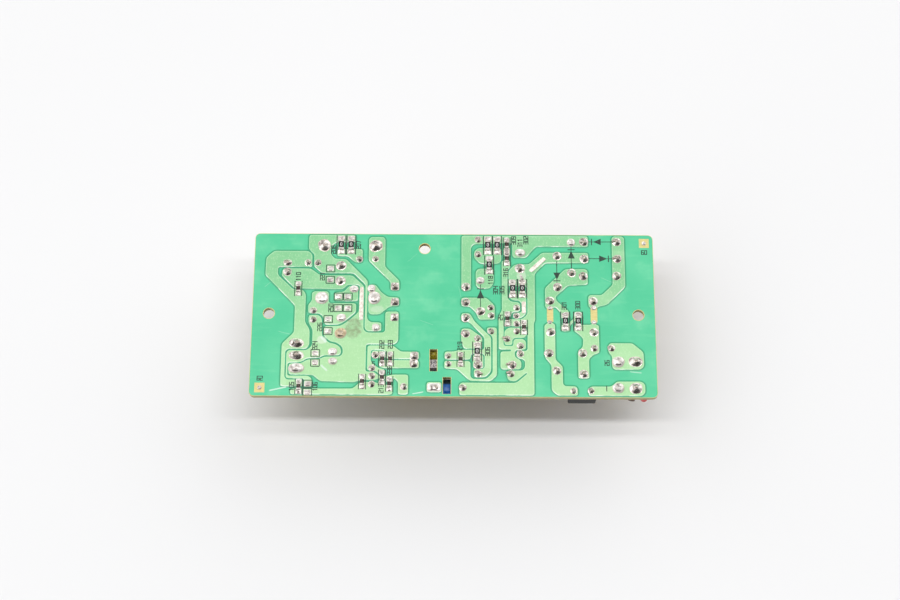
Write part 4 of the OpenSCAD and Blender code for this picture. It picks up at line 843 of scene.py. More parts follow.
def stacked(centre, lean, reach, spread, heights, roughness=0.0):
    """Rings round a centre: spread shrinks each one, and lean moves the inner ones aside."""
    rings = []
    for i, (size, height) in enumerate(zip(spread, heights)):
        middle = np.array(centre) + np.array(lean) * (1 - size)
        lift = np.full(SECTORS, float(height))
        if roughness and 0 < i < len(spread) - 1:
            lift += dice.normal(0, roughness, SECTORS)
        rings.append(np.column_stack((middle + ROUND_ABOUT * (reach * size)[:, None], lift)))
    return rings


def swollen(rings, share, swell):
    """Lifts each ring unevenly, most of all half way in."""
    for ring, s in zip(rings, share):
        ring[:, 2] += swell * s * (1 - s) * 2
    return rings


# %% Many small nets as one piece
def ring_net(rings, first):
    """Faces between rings of points that follow each other, and a fan over the last."""
    faces = []
    for ring in range(len(rings) - 1):
        for k in range(SECTORS):
            a, b = first + ring * SECTORS + k, first + ring * SECTORS + (k + 1) % SECTORS
            faces.append((a, b, b + SECTORS, a + SECTORS))
    last, centre = first + (len(rings) - 1) * SECTORS, first + len(rings) * SECTORS
    return faces + [(last + k, last + (k + 1) % SECTORS, centre) for k in range(SECTORS)]


class Nets:
    """Collects points and faces of many small forms for one mesh.

    Each point stores how far in it is (share), how brown the form is (tone), and where it is
    round the form (turn), for the finish to read.
    """

    def __init__(self):
        self.points, self.faces, self.kinds = [], [], []
        self.share, self.tone, self.turn = [], [], []

    def add(self, rings, kind, shares, tone):
        """Rings of points from the outside in. The last ring is closed over its middle."""
        faces = ring_net(rings, len(self.points))
        self.points += [tuple(p) for ring in rings for p in ring] + [tuple(rings[-1].mean(0))]
        self.share += [s for s in shares for _ in range(SECTORS)] + [shares[-1]]
        self.tone += [tone] * (len(rings) * SECTORS + 1)
        self.turn += list(np.sin(ANGLES)) * len(rings) + [0]
        self.faces += faces
        self.kinds += [kind] * len(faces)

    def place(self, name, materials, slot, replaces=()):
        """Makes the piece. A form's kind is the number of its material."""
        points = (np.array(self.points) - (*layout_middle, 0)) * MM
        put(name, points, self.faces, materials, replaces, self.kinds,
            {"share": self.share, "tone": self.tone, "turn": self.turn})


# %% A joint that climbs its lead
CONE_SHARES = np.array((0, 0.07, 0.16, 0.28, 0.42, 0.57, 0.72, 0.86, 1))
FOOT_HEIGHT, FOOT_SHARE = 0.1, 0.16  # the thin flat foot before the solder climbs
LEAD_ROUGH_CUT = 0.25


def cone_joint(nets, x, y, width, depth, rise, lead, stick_out, corner_power, steep, tone):
    """A joint round a lead of a given radius, and the cut end that sticks out of it."""
    reach = rim_reach(width, depth, corner_power) * (1 + wobble(0.05))
    lean = dice.normal(0, 0.09, 2)
    share = CONE_SHARES
    spread = 1 - share * (1 - lead / reach.mean())
    base = COPPER_TOP - SINK
    lumps = wobble(0.1)
    climb = np.clip((share - FOOT_SHARE) / (1 - FOOT_SHARE), 0, 1) ** steep
    heights = base + FOOT_HEIGHT * (1 - (1 - share) ** 12) + (rise - FOOT_HEIGHT) * climb
    rings = swollen(stacked((x, y), lean, reach, spread, heights, 0.005), share, lumps * rise)
    nets.add(rings, 0, share, tone)
    middle = rings[-1][:, :2].mean(0)
    slant = dice.normal(0, LEAD_ROUGH_CUT, 2)
    wire = []
    for size, height in ((1.0, rise - 0.15), (1.0, rise + stick_out - 0.05),
                         (0.9, rise + stick_out), (0.4, rise + stick_out + 0.01)):
        flat = ROUND_ABOUT * lead * 1.03 * size
        tilt = flat @ slant if height > rise else 0
        wire.append(np.column_stack((flat + middle,
                                     np.broadcast_to(base + height + tilt, SECTORS))))
    nets.add(wire, 1, (0, 0.5, 0.8, 1), tone)


# %% Heaps, and leads that lie on a joint
def heap_joint(nets, x, y, width, depth, rise, corner_power, tone, kind):
    """A round heap of solder over a filled hole or a wide land."""
    reach = rim_reach(width, depth, corner_power) * (1 + wobble(0.045))
    share = np.linspace(0, 1, 9)
    spread = 1 - 0.93 * share
    heights = COPPER_TOP - SINK + rise * (1 - spread ** 2.2) ** 0.55
    rings = stacked((x, y), dice.normal(0, 0.08, 2), reach, spread, heights, 0.006)
    nets.add(swollen(rings, share, wobble(0.22, (1, 2, 3)) * rise), kind, share, tone)


def lying_stub(nets, x, y, turn, length, radius=0.33):
    """A lead that was bent over and lies on its joint."""
    cos, sin, rings = math.cos(turn), math.sin(turn), []
    for along, size, lift in ((-0.1, 0.5, 0.1), (0.05, 0.95, 0.2), (length * 0.5, 1, 0.28),
                              (length - 0.08, 1, 0.22), (length, 0.8, 0.2)):
        off, up_down = (ROUND_ABOUT * radius * size).T
        rings.append(np.column_stack((x + along * cos - off * sin, y + along * sin + off * cos,
                                      COPPER_TOP + radius + lift + up_down)))
    nets.add(rings, 1, (0, 0.3, 0.5, 0.8, 1), 0.5)


# %% [markdown]
# ### The finishes of solder
#
# Fresh solder is a mirror, and a flat grey metal would look like paint. Real joints have duller
# patches where they cooled slowly, and flux that dried brown round the foot. Where a heap faces the
# viewer, a dark crease is painted in as shade. The numbers stored for each point say where the foot
# and the painted shade are.

# %% One solder finish
def solder_finish(name, clean, dull, brown, shine=1.0, relief_mm=0.09, heaped=0.0):
    """Bright solder with duller patches, and flux that dried brown round the foot."""
    solder = Finish(name)
    share, tone, turn = (solder.attribute(n) for n in ("share", "tone", "turn"))
    patch = solder.noise(0.95, 3, seed=21)
    grain = solder.noise(5.0, 3, seed=22)
    colour = solder.mix(patch.step(0.36, 0.62), clean, dull)
    foot = 1 - share.step(0.1, 0.2)
    colour = solder.mix(foot * 0.7, colour, linear(222, 200, 190))
    char = solder.noise(1.05, 3, seed=23).step(0.52, 0.68) * share.step(0.1, 0.3)
    if heaped:
        greyed = share.step(0.4, 0.75) * tone * 0.55
        colour = solder.mix(greyed, colour, linear(150, 142, 134))
    colour = solder.mix(char * tone, colour, brown)
    rough = grain * 0.14 + 0.2 + foot * 0.2 + (1 - shine) * 0.2
    covered = (char * tone * 0.7).most(foot * 0.6)
    if heaped:
        ripple = solder.noise(1.1, 3, solder.stretch(0.35, 3.2, 1), seed=25)
        colour = solder.mix(ripple.step(0.5, 0.62) * 0.4 * heaped, colour, dull)
        # Painted shade: a dark crease on the side of a heap that faces the viewer.
        painted_shade_crease = (share.step(0.22, 0.34) * (1 - share.step(0.46, 0.6)) * turn.step(-0.62, -0.86)
                  * ripple.step(0.3, 0.42))
        colour = solder.mix(painted_shade_crease * 0.95, colour, linear(58, 46, 40))
        covered = covered.most(painted_shade_crease * 0.9)
    return solder.surface(colour, rough, shine - covered * shine,
                          relief=patch * 0.7 + grain * 0.3, relief_mm=relief_mm)


# %% The finishes of joints and cut leads
joint_solder = solder_finish("joint_solder", linear(230, 223, 218), linear(154, 144, 138),
                             linear(66, 50, 42), relief_mm=0.06)
heap_solder = solder_finish("heap_solder", linear(244, 241, 238), linear(206, 199, 193),
                            linear(96, 80, 70), 0.45, 0.03, 0.8)
brown_solder = solder_finish("brown_solder", linear(224, 206, 170), linear(178, 156, 122),
                             linear(104, 84, 66), 0.35, 0.03, 1.0)
lead_end = Finish("cut_lead_end")
cut = lead_end.noise(6, 3, seed=24)
lead_end_material = lead_end.surface(
    lead_end.mix(cut.step(0.35, 0.7), linear(196, 184, 174), linear(128, 112, 100)),
    cut * 0.3 + 0.3, 0.9, relief=cut, relief_mm=0.03)
JOINT_MATERIALS = [joint_solder, lead_end_material, heap_solder, brown_solder]
print("finishes:", *(material.name for material in JOINT_MATERIALS))

# %% [markdown]
# ### Which joint is what
#
# A joint's form tells how it was made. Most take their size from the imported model. The places
# below differ: heaps on filled holes and wide lands, ovals under the output header, square lands
# under the transformer, and brown ones where flux stayed.

# %% The joints that differ
SPECIAL_JOINTS = {  # place: (kind, width, depth, rise, how brown)
    (20.7, 31.0): ("heap", 4.1, 3.9, 0.75, 0.1), (36.3, 31.0): ("heap", 3.7, 4.3, 0.8, 0.4),
    (20.9, 48.0): ("wide", 4.1, 4.2, 1.05, 0.8), (36.5, 48.0): ("wide", 4.2, 4.2, 1.15, 0.9),
    (35.4, 34.0): ("heap", 2.5, 2.6, 0.6, 0.2), (30.2, 33.9): ("heap", 2.7, 2.4, 0.6, 0.2),
    (36.9, 21.6): ("heap", 2.5, 2.5, 0.7, 0.5), (68.0, 36.9): ("heap", 2.6, 2.4, 0.7, 0.3),
    (95.3, 49.4): ("heap", 2.6, 2.5, 0.7, 0.6), (26.5, 24.7): ("heap", 3.0, 2.6, 0.7, 0.1),
    (24.3, 13.9): ("heap", 2.8, 2.5, 0.7, 0.2), (24.3, 10.9): ("heap", 2.8, 2.2, 0.65, 0.5),
    (13.6, 16.56): ("wide", 4.8, 3.0, 1.1, 1.0), (13.6, 12.6): ("wide", 4.8, 2.9, 1.0, 0.9),
    (13.6, 8.64): ("heap", 4.8, 3.1, 0.95, 0.7), (79.9, 45.9): ("heap", 3.2, 2.6, 0.85, 0.6),
    (26.5, 19.7): ("brown", 3.6, 3.4, 0.8, 1.0), (10.1, 42.4): ("wide", 2.7, 2.3, 0.75, 1.0),
    (108.4, 2.9): ("heap", 3.5, 3.3, 0.8, 0.8), (108.6, 11.2): ("heap", 3.8, 3.5, 0.85, 0.7),
    (113.7, 2.9): ("wide", 4.1, 3.7, 1.2, 0.9), (113.8, 11.2): ("wide", 4.3, 3.6, 1.15, 0.9),
    (54.23, 3.0): ("block", 4.2, 2.7, 0.5, 0.9),
}
SQUARE_LANDS = [(42.45, 24.9), (42.45, 29.9), (42.45, 34.9), (48.32, 10.23), (48.32, 12.77)]
HEAP_KINDS = {"heap": 2, "block": 2, "brown": 3}  # the kinds that are heaps: their materials
SAME_PLACE = 0.6  # mm


def entry_for(table, x, y):
    """The place in a table that is this joint's, or None."""
    near = min(table, key=lambda p: math.dist(p, (x, y)))
    return near if math.dist(near, (x, y)) < SAME_PLACE else None


print("special joints:", len(SPECIAL_JOINTS), "square lands:", len(SQUARE_LANDS))

# %% Make the joints
BIG_JOINT = 2.3  # mm across, from which the lead is a thick one
THICK_LEAD, THIN_LEAD, HEAVY_LEAD = 0.42, 0.3, 0.48
BIG_GROW, SMALL_GROW = 1.14, 1.04
LYING_STUBS = [  # x, y, degrees, length
    (77.0, 10.1, 180, 1.5), (67.4, 7.1, 0, 1.2), (76.8, 7.3, 170, 1.3), (75.7, 18.1, 160, 1.3),
    (108.9, 49.7, 175, 1.3), (108.9, 44.2, 185, 1.3), (99.2, 49.6, 200, 1.1),
    (54.6, 3.4, -50, 1.3)]
joints = Nets()
for x, y, width, depth, bottom, top in joint_boxes:
    big = width > BIG_JOINT
    special = entry_for(SPECIAL_JOINTS, x, y)
    if special:
        kind, width, depth, rise, brown = SPECIAL_JOINTS[special]
        power = 5 if kind == "block" else 2.2
        if kind in HEAP_KINDS:
            heap_joint(joints, x, y, width, depth, rise, power, brown, HEAP_KINDS[kind])
        else:
            cone_joint(joints, x, y, width, depth, rise * 0.85, HEAVY_LEAD, rise * 0.1, power,
                       1.3, brown)
    elif entry_for(SQUARE_LANDS, x, y):
        cone_joint(joints, x, y, 2.5, 2.5, 0.55, 0.4, 0.2, 7, 1.1, 1.0)
    else:
        rise = min(top - COPPER_TOP - 0.3, 0.85) * dice.uniform(0.8, 1.0)
        grow = BIG_GROW if big else SMALL_GROW
        cone_joint(joints, x, y, width * grow, depth * grow, rise,
                   THICK_LEAD if big else THIN_LEAD, dice.uniform(0.12, 0.3), 2.1,
                   dice.uniform(1.3, 1.9), dice.uniform(0.3, 1.0))
for x, y, degrees, length in LYING_STUBS:
    lying_stub(joints, x, y, math.radians(degrees), length)
joints.place("joints_and_cut_leads", JOINT_MATERIALS, "solder", ["solder_joints"])

# %% [markdown]
# ### Lands and the feet of the chips
#
# A bevelled box would do for a tinned land, but molten solder pulls itself round, so each is a
# low pillow with soft corners. Where a chip sits on a land, the solder climbs the chip's end, so
# its pillow is higher on that side. A track that was left bare is a long flat-topped ridge.

# %% Pillows and ridges of solder
def turned(across, along, turn, x, y):
    """Points given beside a middle, turned and moved to it."""
    cos, sin = math.cos(turn), math.sin(turn)
    return np.column_stack((x + across * cos - along * sin, y + across * sin + along * cos))


def pillow(nets, x, y, width, depth, rise, tone, towards=0.0, turn=0.0, power=5.0):
    """A low pillow. Towards lifts its far side (+) or its near side (-)."""
    reach = rim_reach(width, depth, power) * (1 + wobble(0.02))
    share = np.linspace(0, 1, 7)
    spread = 1 - 0.9 * share
    heights = COPPER_TOP - SINK + rise * (1 - spread ** 3) ** 0.6
    rings = stacked((0, 0), dice.normal(0, 0.05, 2), reach, spread, heights, 0.006)
    swollen(rings, share, wobble(0.3, (1, 2, 3)) * rise)
    for ring, s in zip(rings, share):
        ring[:, 2] += towards * np.clip(ring[:, 1] / depth + 0.5, 0, 1) * min(1, 4 * s)
        ring[:, :2] = turned(ring[:, 0], ring[:, 1], turn, x, y)
    nets.add(rings, 0, share, tone)


def ridge(nets, x, y, length, width, rise, turn):
    """A long low ridge with a flat top and blunt ends."""
    along, across = (np.sign(ROUND_ABOUT) * np.abs(ROUND_ABOUT) ** 0.3).T
    rings = []
    for inset, height in ((0, 0), (0.06, 0.5), (0.16, 0.85), (0.3, 1), (0.45, 1.02)):
        flat = turned(along * (length / 2 - inset * width), across * (width / 2 - inset * width),
                      turn, x, y)
        lift = COPPER_TOP - SINK + rise * height + dice.normal(0, 0.012, SECTORS)
        rings.append(np.column_stack((flat, lift)))
    nets.add(rings, 1, (0, 0.25, 0.5, 0.75, 1), 0.2)


# %% The finishes of lands and bare strips
pad_solder = solder_finish("pad_solder", linear(240, 236, 231), linear(180, 172, 166),
                           linear(88, 74, 66), 0.55, 0.04, 0.9)
strip_solder = Finish("bare_strip")
along_strip = strip_solder.noise(1.2, 4, seed=26)
strip_material = strip_solder.surface(
    strip_solder.mix(along_strip.step(0.4, 0.66), linear(240, 234, 224), linear(214, 200, 188)),
    along_strip * 0.2 + 0.34, 0.3, relief=along_strip, relief_mm=0.05)
print("finishes:", pad_solder.name, strip_material.name)

# %% Make the lands and the feet
STRIP_RISE, LONG_STRIP, LONG_STRIP_RUN = 0.25, (6.3, 1.4), (4.5, 4.4)
PAD_RISE, FOOT_RISE, FOOT_GROW = 0.2, 0.17, 1.12
LARGE_CHIP_CLIMB, SMALL_CHIP_CLIMB = 0.22, 0.16
SPOTS = [  # x, y, width, depth: the corner marks, and the tips of the spark gaps
    (3.1, 2.6, 1.3, 1.3), (117.3, 49.3, 1.3, 1.3), (101.7, 28.3, 1.7, 1.5),
    (101.7, 23.6, 1.6, 1.4), (88.7, 28.2, 1.6, 1.3), (88.6, 23.6, 1.4, 1.3)]
pillows = Nets()
for x, y, width, depth, *rest in solids_of("tinned_areas"):
    if width > 3:
        ridge(pillows, x, y, *LONG_STRIP, STRIP_RISE, math.atan2(*reversed(LONG_STRIP_RUN)))
    elif depth > 3:
        ridge(pillows, x, y, depth, max(width, 1.3), STRIP_RISE, math.pi / 2)
    else:
        pillow(pillows, x, y, width, depth, PAD_RISE, dice.uniform(0.0, 0.45))
for x, y, width, depth, *rest in solids_of("chip_solder"):
    chip = min((c for c in large_chips + small_chips if abs(c[0] - x) < 0.5),
               key=lambda c: abs(c[1] - y))
    climb = LARGE_CHIP_CLIMB if width > 1.8 else SMALL_CHIP_CLIMB
    slope = 0.0 if depth > 2 else climb if chip[1] > y else -climb
    pillow(pillows, x, y, width * FOOT_GROW, depth + 0.25, FOOT_RISE + max(0, -slope),
           dice.uniform(0.2, 1.0), slope)
for place in SPOTS:
    pillow(pillows, *place, 0.22, 0.3, power=2)
pillow(pillows, 80.3, 37.9, 0.9, 2.4, 0.3, 0.2, turn=0.35, power=2.5)  # a splash
pillows.place("lands_and_chip_feet", [pad_solder, strip_material], "solder",
              ["tinned_areas", "chip_solder"])

# %% [markdown]
# ## Chips
#
# A chip resistor is a white ceramic block with a black glaze on top, plated at both ends. The
# packed blocks have the right form, so only their finish is new: the height tells glaze from
# ceramic. The bigger ones carry a plain "0", drawn with thin bars that lie just above the glaze.

# %% Chips
def chip_finish(name, top, glaze, worn):
    """Pale ceramic with a dark glaze on its top, which is at a height in mm."""
    chip = Finish(name)
    wear = chip.noise(3.2, 3, seed=31)
    on_top = chip.z.step(top - 0.06, top - 0.03)
    colour = chip.mix(on_top, linear(214, 206, 190), chip.mix(wear.step(0.45, 0.7), glaze, worn))
    return chip.surface(colour, wear * 0.2 + 0.22, relief=wear, relief_mm=0.01)


large_top, small_top = (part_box(node)[1].z / MM
                        for node in ("large_chip_bodies", "small_chip_bodies"))
dress(chip_finish("large_chip", large_top, linear(20, 20, 22), linear(40, 38, 38)),
      "large_chip_bodies")
dress(chip_finish("small_chip", small_top, linear(44, 34, 30), linear(96, 80, 68)),
      "small_chip_bodies")
plating = Finish("chip_plating")
dull = plating.noise(2.0, 4, seed=32)
plating_material = plating.surface(
    plating.mix(dull.step(0.4, 0.65), linear(226, 220, 214), linear(164, 152, 142)),
    dull * 0.3 + 0.24, 0.85, relief=dull, relief_mm=0.05)
dress(plating_material, "large_chip_ends", "small_chip_ends")

# %% Marks on the chips
ABOVE_SURFACE = 0.012  # mm that printing lies above what it is printed on
mark_ink = Finish("chip_mark_ink")
mark_wear = mark_ink.noise(4, 2, seed=33)
mark_material = mark_ink.surface(
    mark_ink.mix(mark_wear.step(0.4, 0.7), linear(232, 230, 226), linear(186, 184, 180)),
    mark_wear * 0.2 + 0.5)


def flat_shapes(name, shapes, height, material, downwards=False):
    """Thin flat shapes in one mesh at one height, such as printing."""
    points, faces = [], []
    for shape in shapes:
        first = len(points)
        points += [((x - BOARD_LENGTH / 2) * MM, (y - BOARD_WIDTH / 2) * MM, height * MM)
                   for x, y in shape]
        order = list(range(first, first + len(shape)))
        faces.append(order[::-1] if downwards else order)
    put(name, points, faces, [material])


ZERO_HEIGHT, ZERO_STROKE = 0.95, 0.17
zeros = [bar for x, y, *rest in large_chips
         for bar in number_shapes("0", x, y + 0.02, ZERO_HEIGHT, 0, ZERO_STROKE)]
flat_shapes("chip_marks", zeros, large_top + ABOVE_SURFACE, mark_material)

# %% [markdown]
# ## Under the board
#
# Everything tall hangs below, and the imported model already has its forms. What is left is what
# the parts are made of: ferrite, black and pale mouldings, tape, sleeved cans, coated discs and
# moulded diodes. Ferrite is a fired ceramic, dark and a little gritty, so its relief is coarse
# crumbs and fine pits. Mouldings share one finish that takes two near tones.

# %% Ferrite
ferrite = Finish("ferrite_core")
crumb = ferrite.noise(2.2, 5, seed=41)
pit = ferrite.noise(7, 2, seed=42)
dress(ferrite.surface(ferrite.mix(crumb.step(0.35, 0.7), linear(58, 56, 58), linear(84, 82, 84)),
                      pit * 0.2 + 0.45, relief=crumb * 0.6 + pit * 0.4, relief_mm=0.04),
      "transformer_core_left", "transformer_core_right", "mains_choke_core")


# %% Mouldings
def plastic_finish(name, main, other, rough=0.38, scale=0.7, relief_mm=0.02):
    """Moulded plastic: two near tones, fine grain and a soft sheen."""
    plastic = Finish(name)
    tone, grain = plastic.noise(scale, 3, seed=43), plastic.noise(6, 2, seed=44)
    return plastic.surface(plastic.mix(tone.step(0.35, 0.7), main, other), grain * 0.16 + rough,
                           relief=grain * 0.6 + tone * 0.4, relief_mm=relief_mm)


dress(plastic_finish("black_phenolic", linear(24, 24, 25), linear(40, 38, 37)),
      "transformer_bobbin")
dress(plastic_finish("pale_nylon", linear(228, 224, 210), linear(214, 208, 190)),
      "mains_choke_bobbin", "header_housing")
dress(plastic_finish("fuse_plastic", linear(12, 12, 13), linear(24, 23, 23), 0.5),
      "fuse_cap", "fuse_base")
dress(plastic_finish("bung_rubber", linear(34, 33, 33), linear(50, 47, 45), 0.6),
      "bulk_capacitor_bung", "small_capacitor_bungs")
dress(plastic_finish("chip_moulding", linear(30, 30, 32), linear(46, 45, 45), 0.42, 1.5),
      "control_chip_body", "regulator_body")
dress(plastic_finish("choke_sleeve", linear(26, 40, 34), linear(40, 58, 48), 0.5),
      "output_choke_bodies")
dress(plastic_finish("yellow_case", linear(232, 188, 76), linear(222, 172, 60), 0.4),
      "suppression_capacitor_cases")
dress(plastic_finish("casting_resin", linear(212, 176, 96), linear(190, 150, 70), 0.3),
      "suppression_capacitor_resin")

# %% [markdown]
# ### Tape, cans and wound wire
#
# These three show how they were made. Tape goes round in turns, so a darker line follows each
# overlap. A can is drawn, which leaves fine lines along it, and its shrunk sleeve carries a pale
# stripe with dashes that marks the negative lead. Wire lies side by side in ridges, and its colour
# is painted darker between them as shade. Each could be modelled, but turns this fine are a
# repeating number along one axis, and relief does the rest.

# %% Yellow tape
tape = Finish("yellow_tape")
turn_edge = tape.node("ShaderNodeMath", {"operation": "FRACT"}, {0: tape.z * 0.21 + tape.y * 0.013})
overlap = turn_edge.step(0.0, 0.03) * turn_edge.step(1.0, 0.55)
crinkle = tape.noise(0.5, 4, tape.stretch(1, 1, 3), seed=45)
tape_colour = tape.mix(crinkle.step(0.3, 0.7), linear(238, 204, 66), linear(216, 176, 44))
tape_colour = tape.mix((1 - overlap) * 0.3, tape_colour, linear(168, 128, 30))
dress(tape.surface(tape_colour, crinkle * 0.2 + 0.22, relief=crinkle * 0.6 + overlap * 0.4,
                   relief_mm=0.06), "transformer_winding", "transformer_tape")

# %% Cans and sleeves
can = Finish("can_aluminium")
drawn = can.noise(1.2, 4, can.stretch(3, 3, 0.2), seed=46)
dress(can.surface(can.mix(drawn.step(0.35, 0.7), linear(206, 206, 208), linear(176, 176, 180)),
                  drawn * 0.2 + 0.26, 1.0, relief=drawn, relief_mm=0.02),
      "bulk_capacitor_can", "small_capacitor_cans")
sleeve = Finish("can_sleeve")
shrink = sleeve.noise(0.8, 3, seed=47)
DASH_PER_MM, DASH_GAP, STRIPE_START = 0.25, 0.3, 0.42  # the last as a share of the can's width
stripes = []
for x, y, width, *rest in (solids_of("bulk_capacitor_sleeve")
                           + solids_of("small_capacitor_sleeves")):
    dx, dy = sleeve.x - (x - BOARD_LENGTH / 2), sleeve.y - (y - BOARD_WIDTH / 2)
    near = abs(dx).most(abs(dy)).step(width / 2 + 0.2, width / 2 + 0.1)
    dashes = sleeve.node("ShaderNodeMath", {"operation": "FRACT"}, {0: sleeve.z * DASH_PER_MM})
    line = (dy * -1).step(width * STRIPE_START, width * (STRIPE_START + 0.01)) * near
    stripes.append(line * 0.75 + line * dashes.step(DASH_GAP, DASH_GAP + 0.04) * 0.25)
stripe = strongest(stripes)
sleeve_colour = sleeve.mix(shrink.step(0.35, 0.7), linear(30, 30, 36), linear(44, 44, 52))
sleeve_colour = sleeve.mix(stripe, sleeve_colour, linear(182, 186, 192))
dress(sleeve.surface(sleeve_colour, shrink * 0.2 + 0.2, relief=shrink, relief_mm=0.02),
      "bulk_capacitor_sleeve", "small_capacitor_sleeves")

# %% Wound wire
WIRE_PITCH = 0.42  # mm from one turn to the next
winding = Finish("enamelled_copper")
# The turns set both the relief and the colour: darker between turns, which is painted shade.
turns = winding.node("ShaderNodeMath", {"operation": "SINE"},
                     {0: winding.x * (2 * math.pi / WIRE_PITCH)})
turns = turns * 0.5 + 0.5
lay = winding.noise(0.6, 3, seed=48)
dress(winding.surface(
    winding.mix(lay.step(0.3, 0.7), winding.mix(turns, linear(96, 40, 18), linear(196, 104, 56)),
                winding.mix(turns, linear(78, 30, 14), linear(170, 82, 42))),
    lay * 0.15 + 0.25, 0.6, relief=turns, relief_mm=0.2), "mains_choke_windings")

# %% [markdown]
# ### Coated discs and banded bodies
#
# Disc capacitors are dipped in resin, which dries thick, glossy and uneven. Diodes and resistors
# are moulded or glazed bodies with bands painted round them. A band could be a mask on one axis of
# one object, but alike bodies share a mesh here, so each body's own centre places its bands.

# %% Dipped coatings
def coating_finish(name, main, other):
    """A dipped coating: thick, glossy and a little uneven."""
    coating = Finish(name)
    sag, spot = coating.noise(0.45, 3, seed=49), coating.noise(3.5, 2, seed=50)
    return coating.surface(coating.mix(sag.step(0.35, 0.7), main, other), spot * 0.1 + 0.24,
                           relief=sag * 0.8 + spot * 0.2, relief_mm=0.12)


dress(coating_finish("green_coating", linear(44, 78, 52), linear(58, 92, 62)), "thermistor_disc")
dress(coating_finish("ochre_coating", linear(196, 128, 52), linear(178, 110, 42)),
      "disc_capacitor_bodies")
blue_coat = coating_finish("blue_coating", linear(20, 96, 178), linear(14, 76, 156))
dress(blue_coat, "varistor_disc")

# %% The safety capacitor's disc, a little smaller, so that it stays behind the board's edge
DISC_SHARE, MOVED_IN = 0.95, 0.3 * MM
disc = welded("safety_capacitor_disc")
disc_points = np.array([tuple(v.co) for v in disc.verts])
disc_middle = (disc_points.min(0) + disc_points.max(0)) / 2
put("safety_capacitor_coated",
    disc_middle + (disc_points - disc_middle) * DISC_SHARE + (0, MOVED_IN, 0),
    [[v.index for v in face.verts] for face in disc.faces], [blue_coat],
    ["safety_capacitor_disc"])
disc.free()


# %% Bands round diodes and resistors
def banded_finish(name, node, body, bands):
    """A round body with bands round it. Bands are (from, to, colour) as shares of its length."""
    banded = Finish(name)
    grain = banded.noise(3, 3, seed=51)
    colour = banded.mix(grain.step(0.4, 0.7), body, tuple(c * 1.35 for c in body[:3]) + (1.0,))
    for x, y, width, depth, *rest in solids_of(node):
        dx, dy = banded.x - (x - BOARD_LENGTH / 2), banded.y - (y - BOARD_WIDTH / 2)
        here = (abs(dx).step(width / 2 + 0.2, width / 2 + 0.1)
                * abs(dy).step(depth / 2 + 0.2, depth / 2 + 0.1))
        share = (dx / width if width > depth else dy / depth) + 0.5
        for start, end, paint in bands:
            band = share.step(start - 0.01, start) * share.step(end + 0.01, end)
            colour = banded.mix(band * here, colour, paint)
    return banded.surface(colour, grain * 0.15 + 0.3, relief=grain, relief_mm=0.02)


MOULDED_BLACK, SILVER_BAND = linear(28, 28, 30), linear(198, 198, 200)
dress(banded_finish("rectifier_body", "rectifier_bodies", MOULDED_BLACK,
                    [(0.74, 0.88, SILVER_BAND)]), "rectifier_bodies")
dress(banded_finish("output_diode_body", "output_diode_bodies", MOULDED_BLACK,
                    [(0.78, 0.9, SILVER_BAND)]), "output_diode_bodies")
dress(banded_finish("resistor_body", "axial_resistor_body", linear(206, 186, 140),
                    [(0.1, 0.18, linear(124, 68, 32)), (0.28, 0.36, linear(30, 28, 28)),
                     (0.46, 0.54, linear(214, 96, 32)), (0.8, 0.88, linear(198, 160, 70))]),
      "axial_resistor_body")

# %% [markdown]
# ### What shows through the slots
#
# The two slots keep the mains side away from the output side. One shows the coupler that bridges
# them: a pale moulding whose near end is painted black as shade, under a scrap of tape. The other
# shows resin that ran down from the disc beside it, with its near part painted dark as shade. Both
# are too soft for plain boxes and too small for a simulation, so a slab is rings of points from
# its bottom to its top, with corners as square as is wanted.

# %% The coupler's moulding
SHADE_END = 9.8  # layout mm, up to which the coupler is black
coupler = Finish("coupler_moulding")
mottle = coupler.noise(2.4, 4, seed=52)
blotch = coupler.noise(1.1, 3, seed=53)
moulding = coupler.mix(blotch.step(0.4, 0.6), linear(236, 230, 236), linear(190, 186, 192))
moulding = coupler.mix(mottle.step(0.46, 0.62), moulding, linear(108, 104, 112))
# Painted shade: the coupler's near end is black, as the shade in the slot.
moulding = coupler.mix((coupler.y + BOARD_WIDTH / 2).step(SHADE_END + 0.15, SHADE_END), moulding,
                       linear(16, 16, 18))
dress(coupler.surface(moulding, mottle * 0.2 + 0.4, relief=mottle, relief_mm=0.08),
      "optocoupler_body")


# %% Soft-edged slabs
def slab(name, low, high, material, slot, swollen_ends=False):
    """A soft-edged block between two corners in layout mm, or one with rounded ends."""
    low, high = np.array(low), np.array(high)
    middle, half = (low + high) / 2, (high - low) / 2
    end, corner_power = (0.6, 3) if swollen_ends else (0.97, 12)
    reach = rim_reach(2 * half[0], 2 * half[1], corner_power)
    sizes, levels = (end, 0.93, 1, 1, 0.93, end), np.array((-1, -0.6, -0.2, 0.2, 0.7, 1))
    net = Nets()
    net.add(stacked(middle[:2], (0, 0), reach, sizes, middle[2] + half[2] * levels), 0,
            [0.5] * len(sizes), 0.5)
    net.faces.append(list(range(SECTORS))[::-1])
    net.kinds.append(0)
    net.place(name, [material], slot)


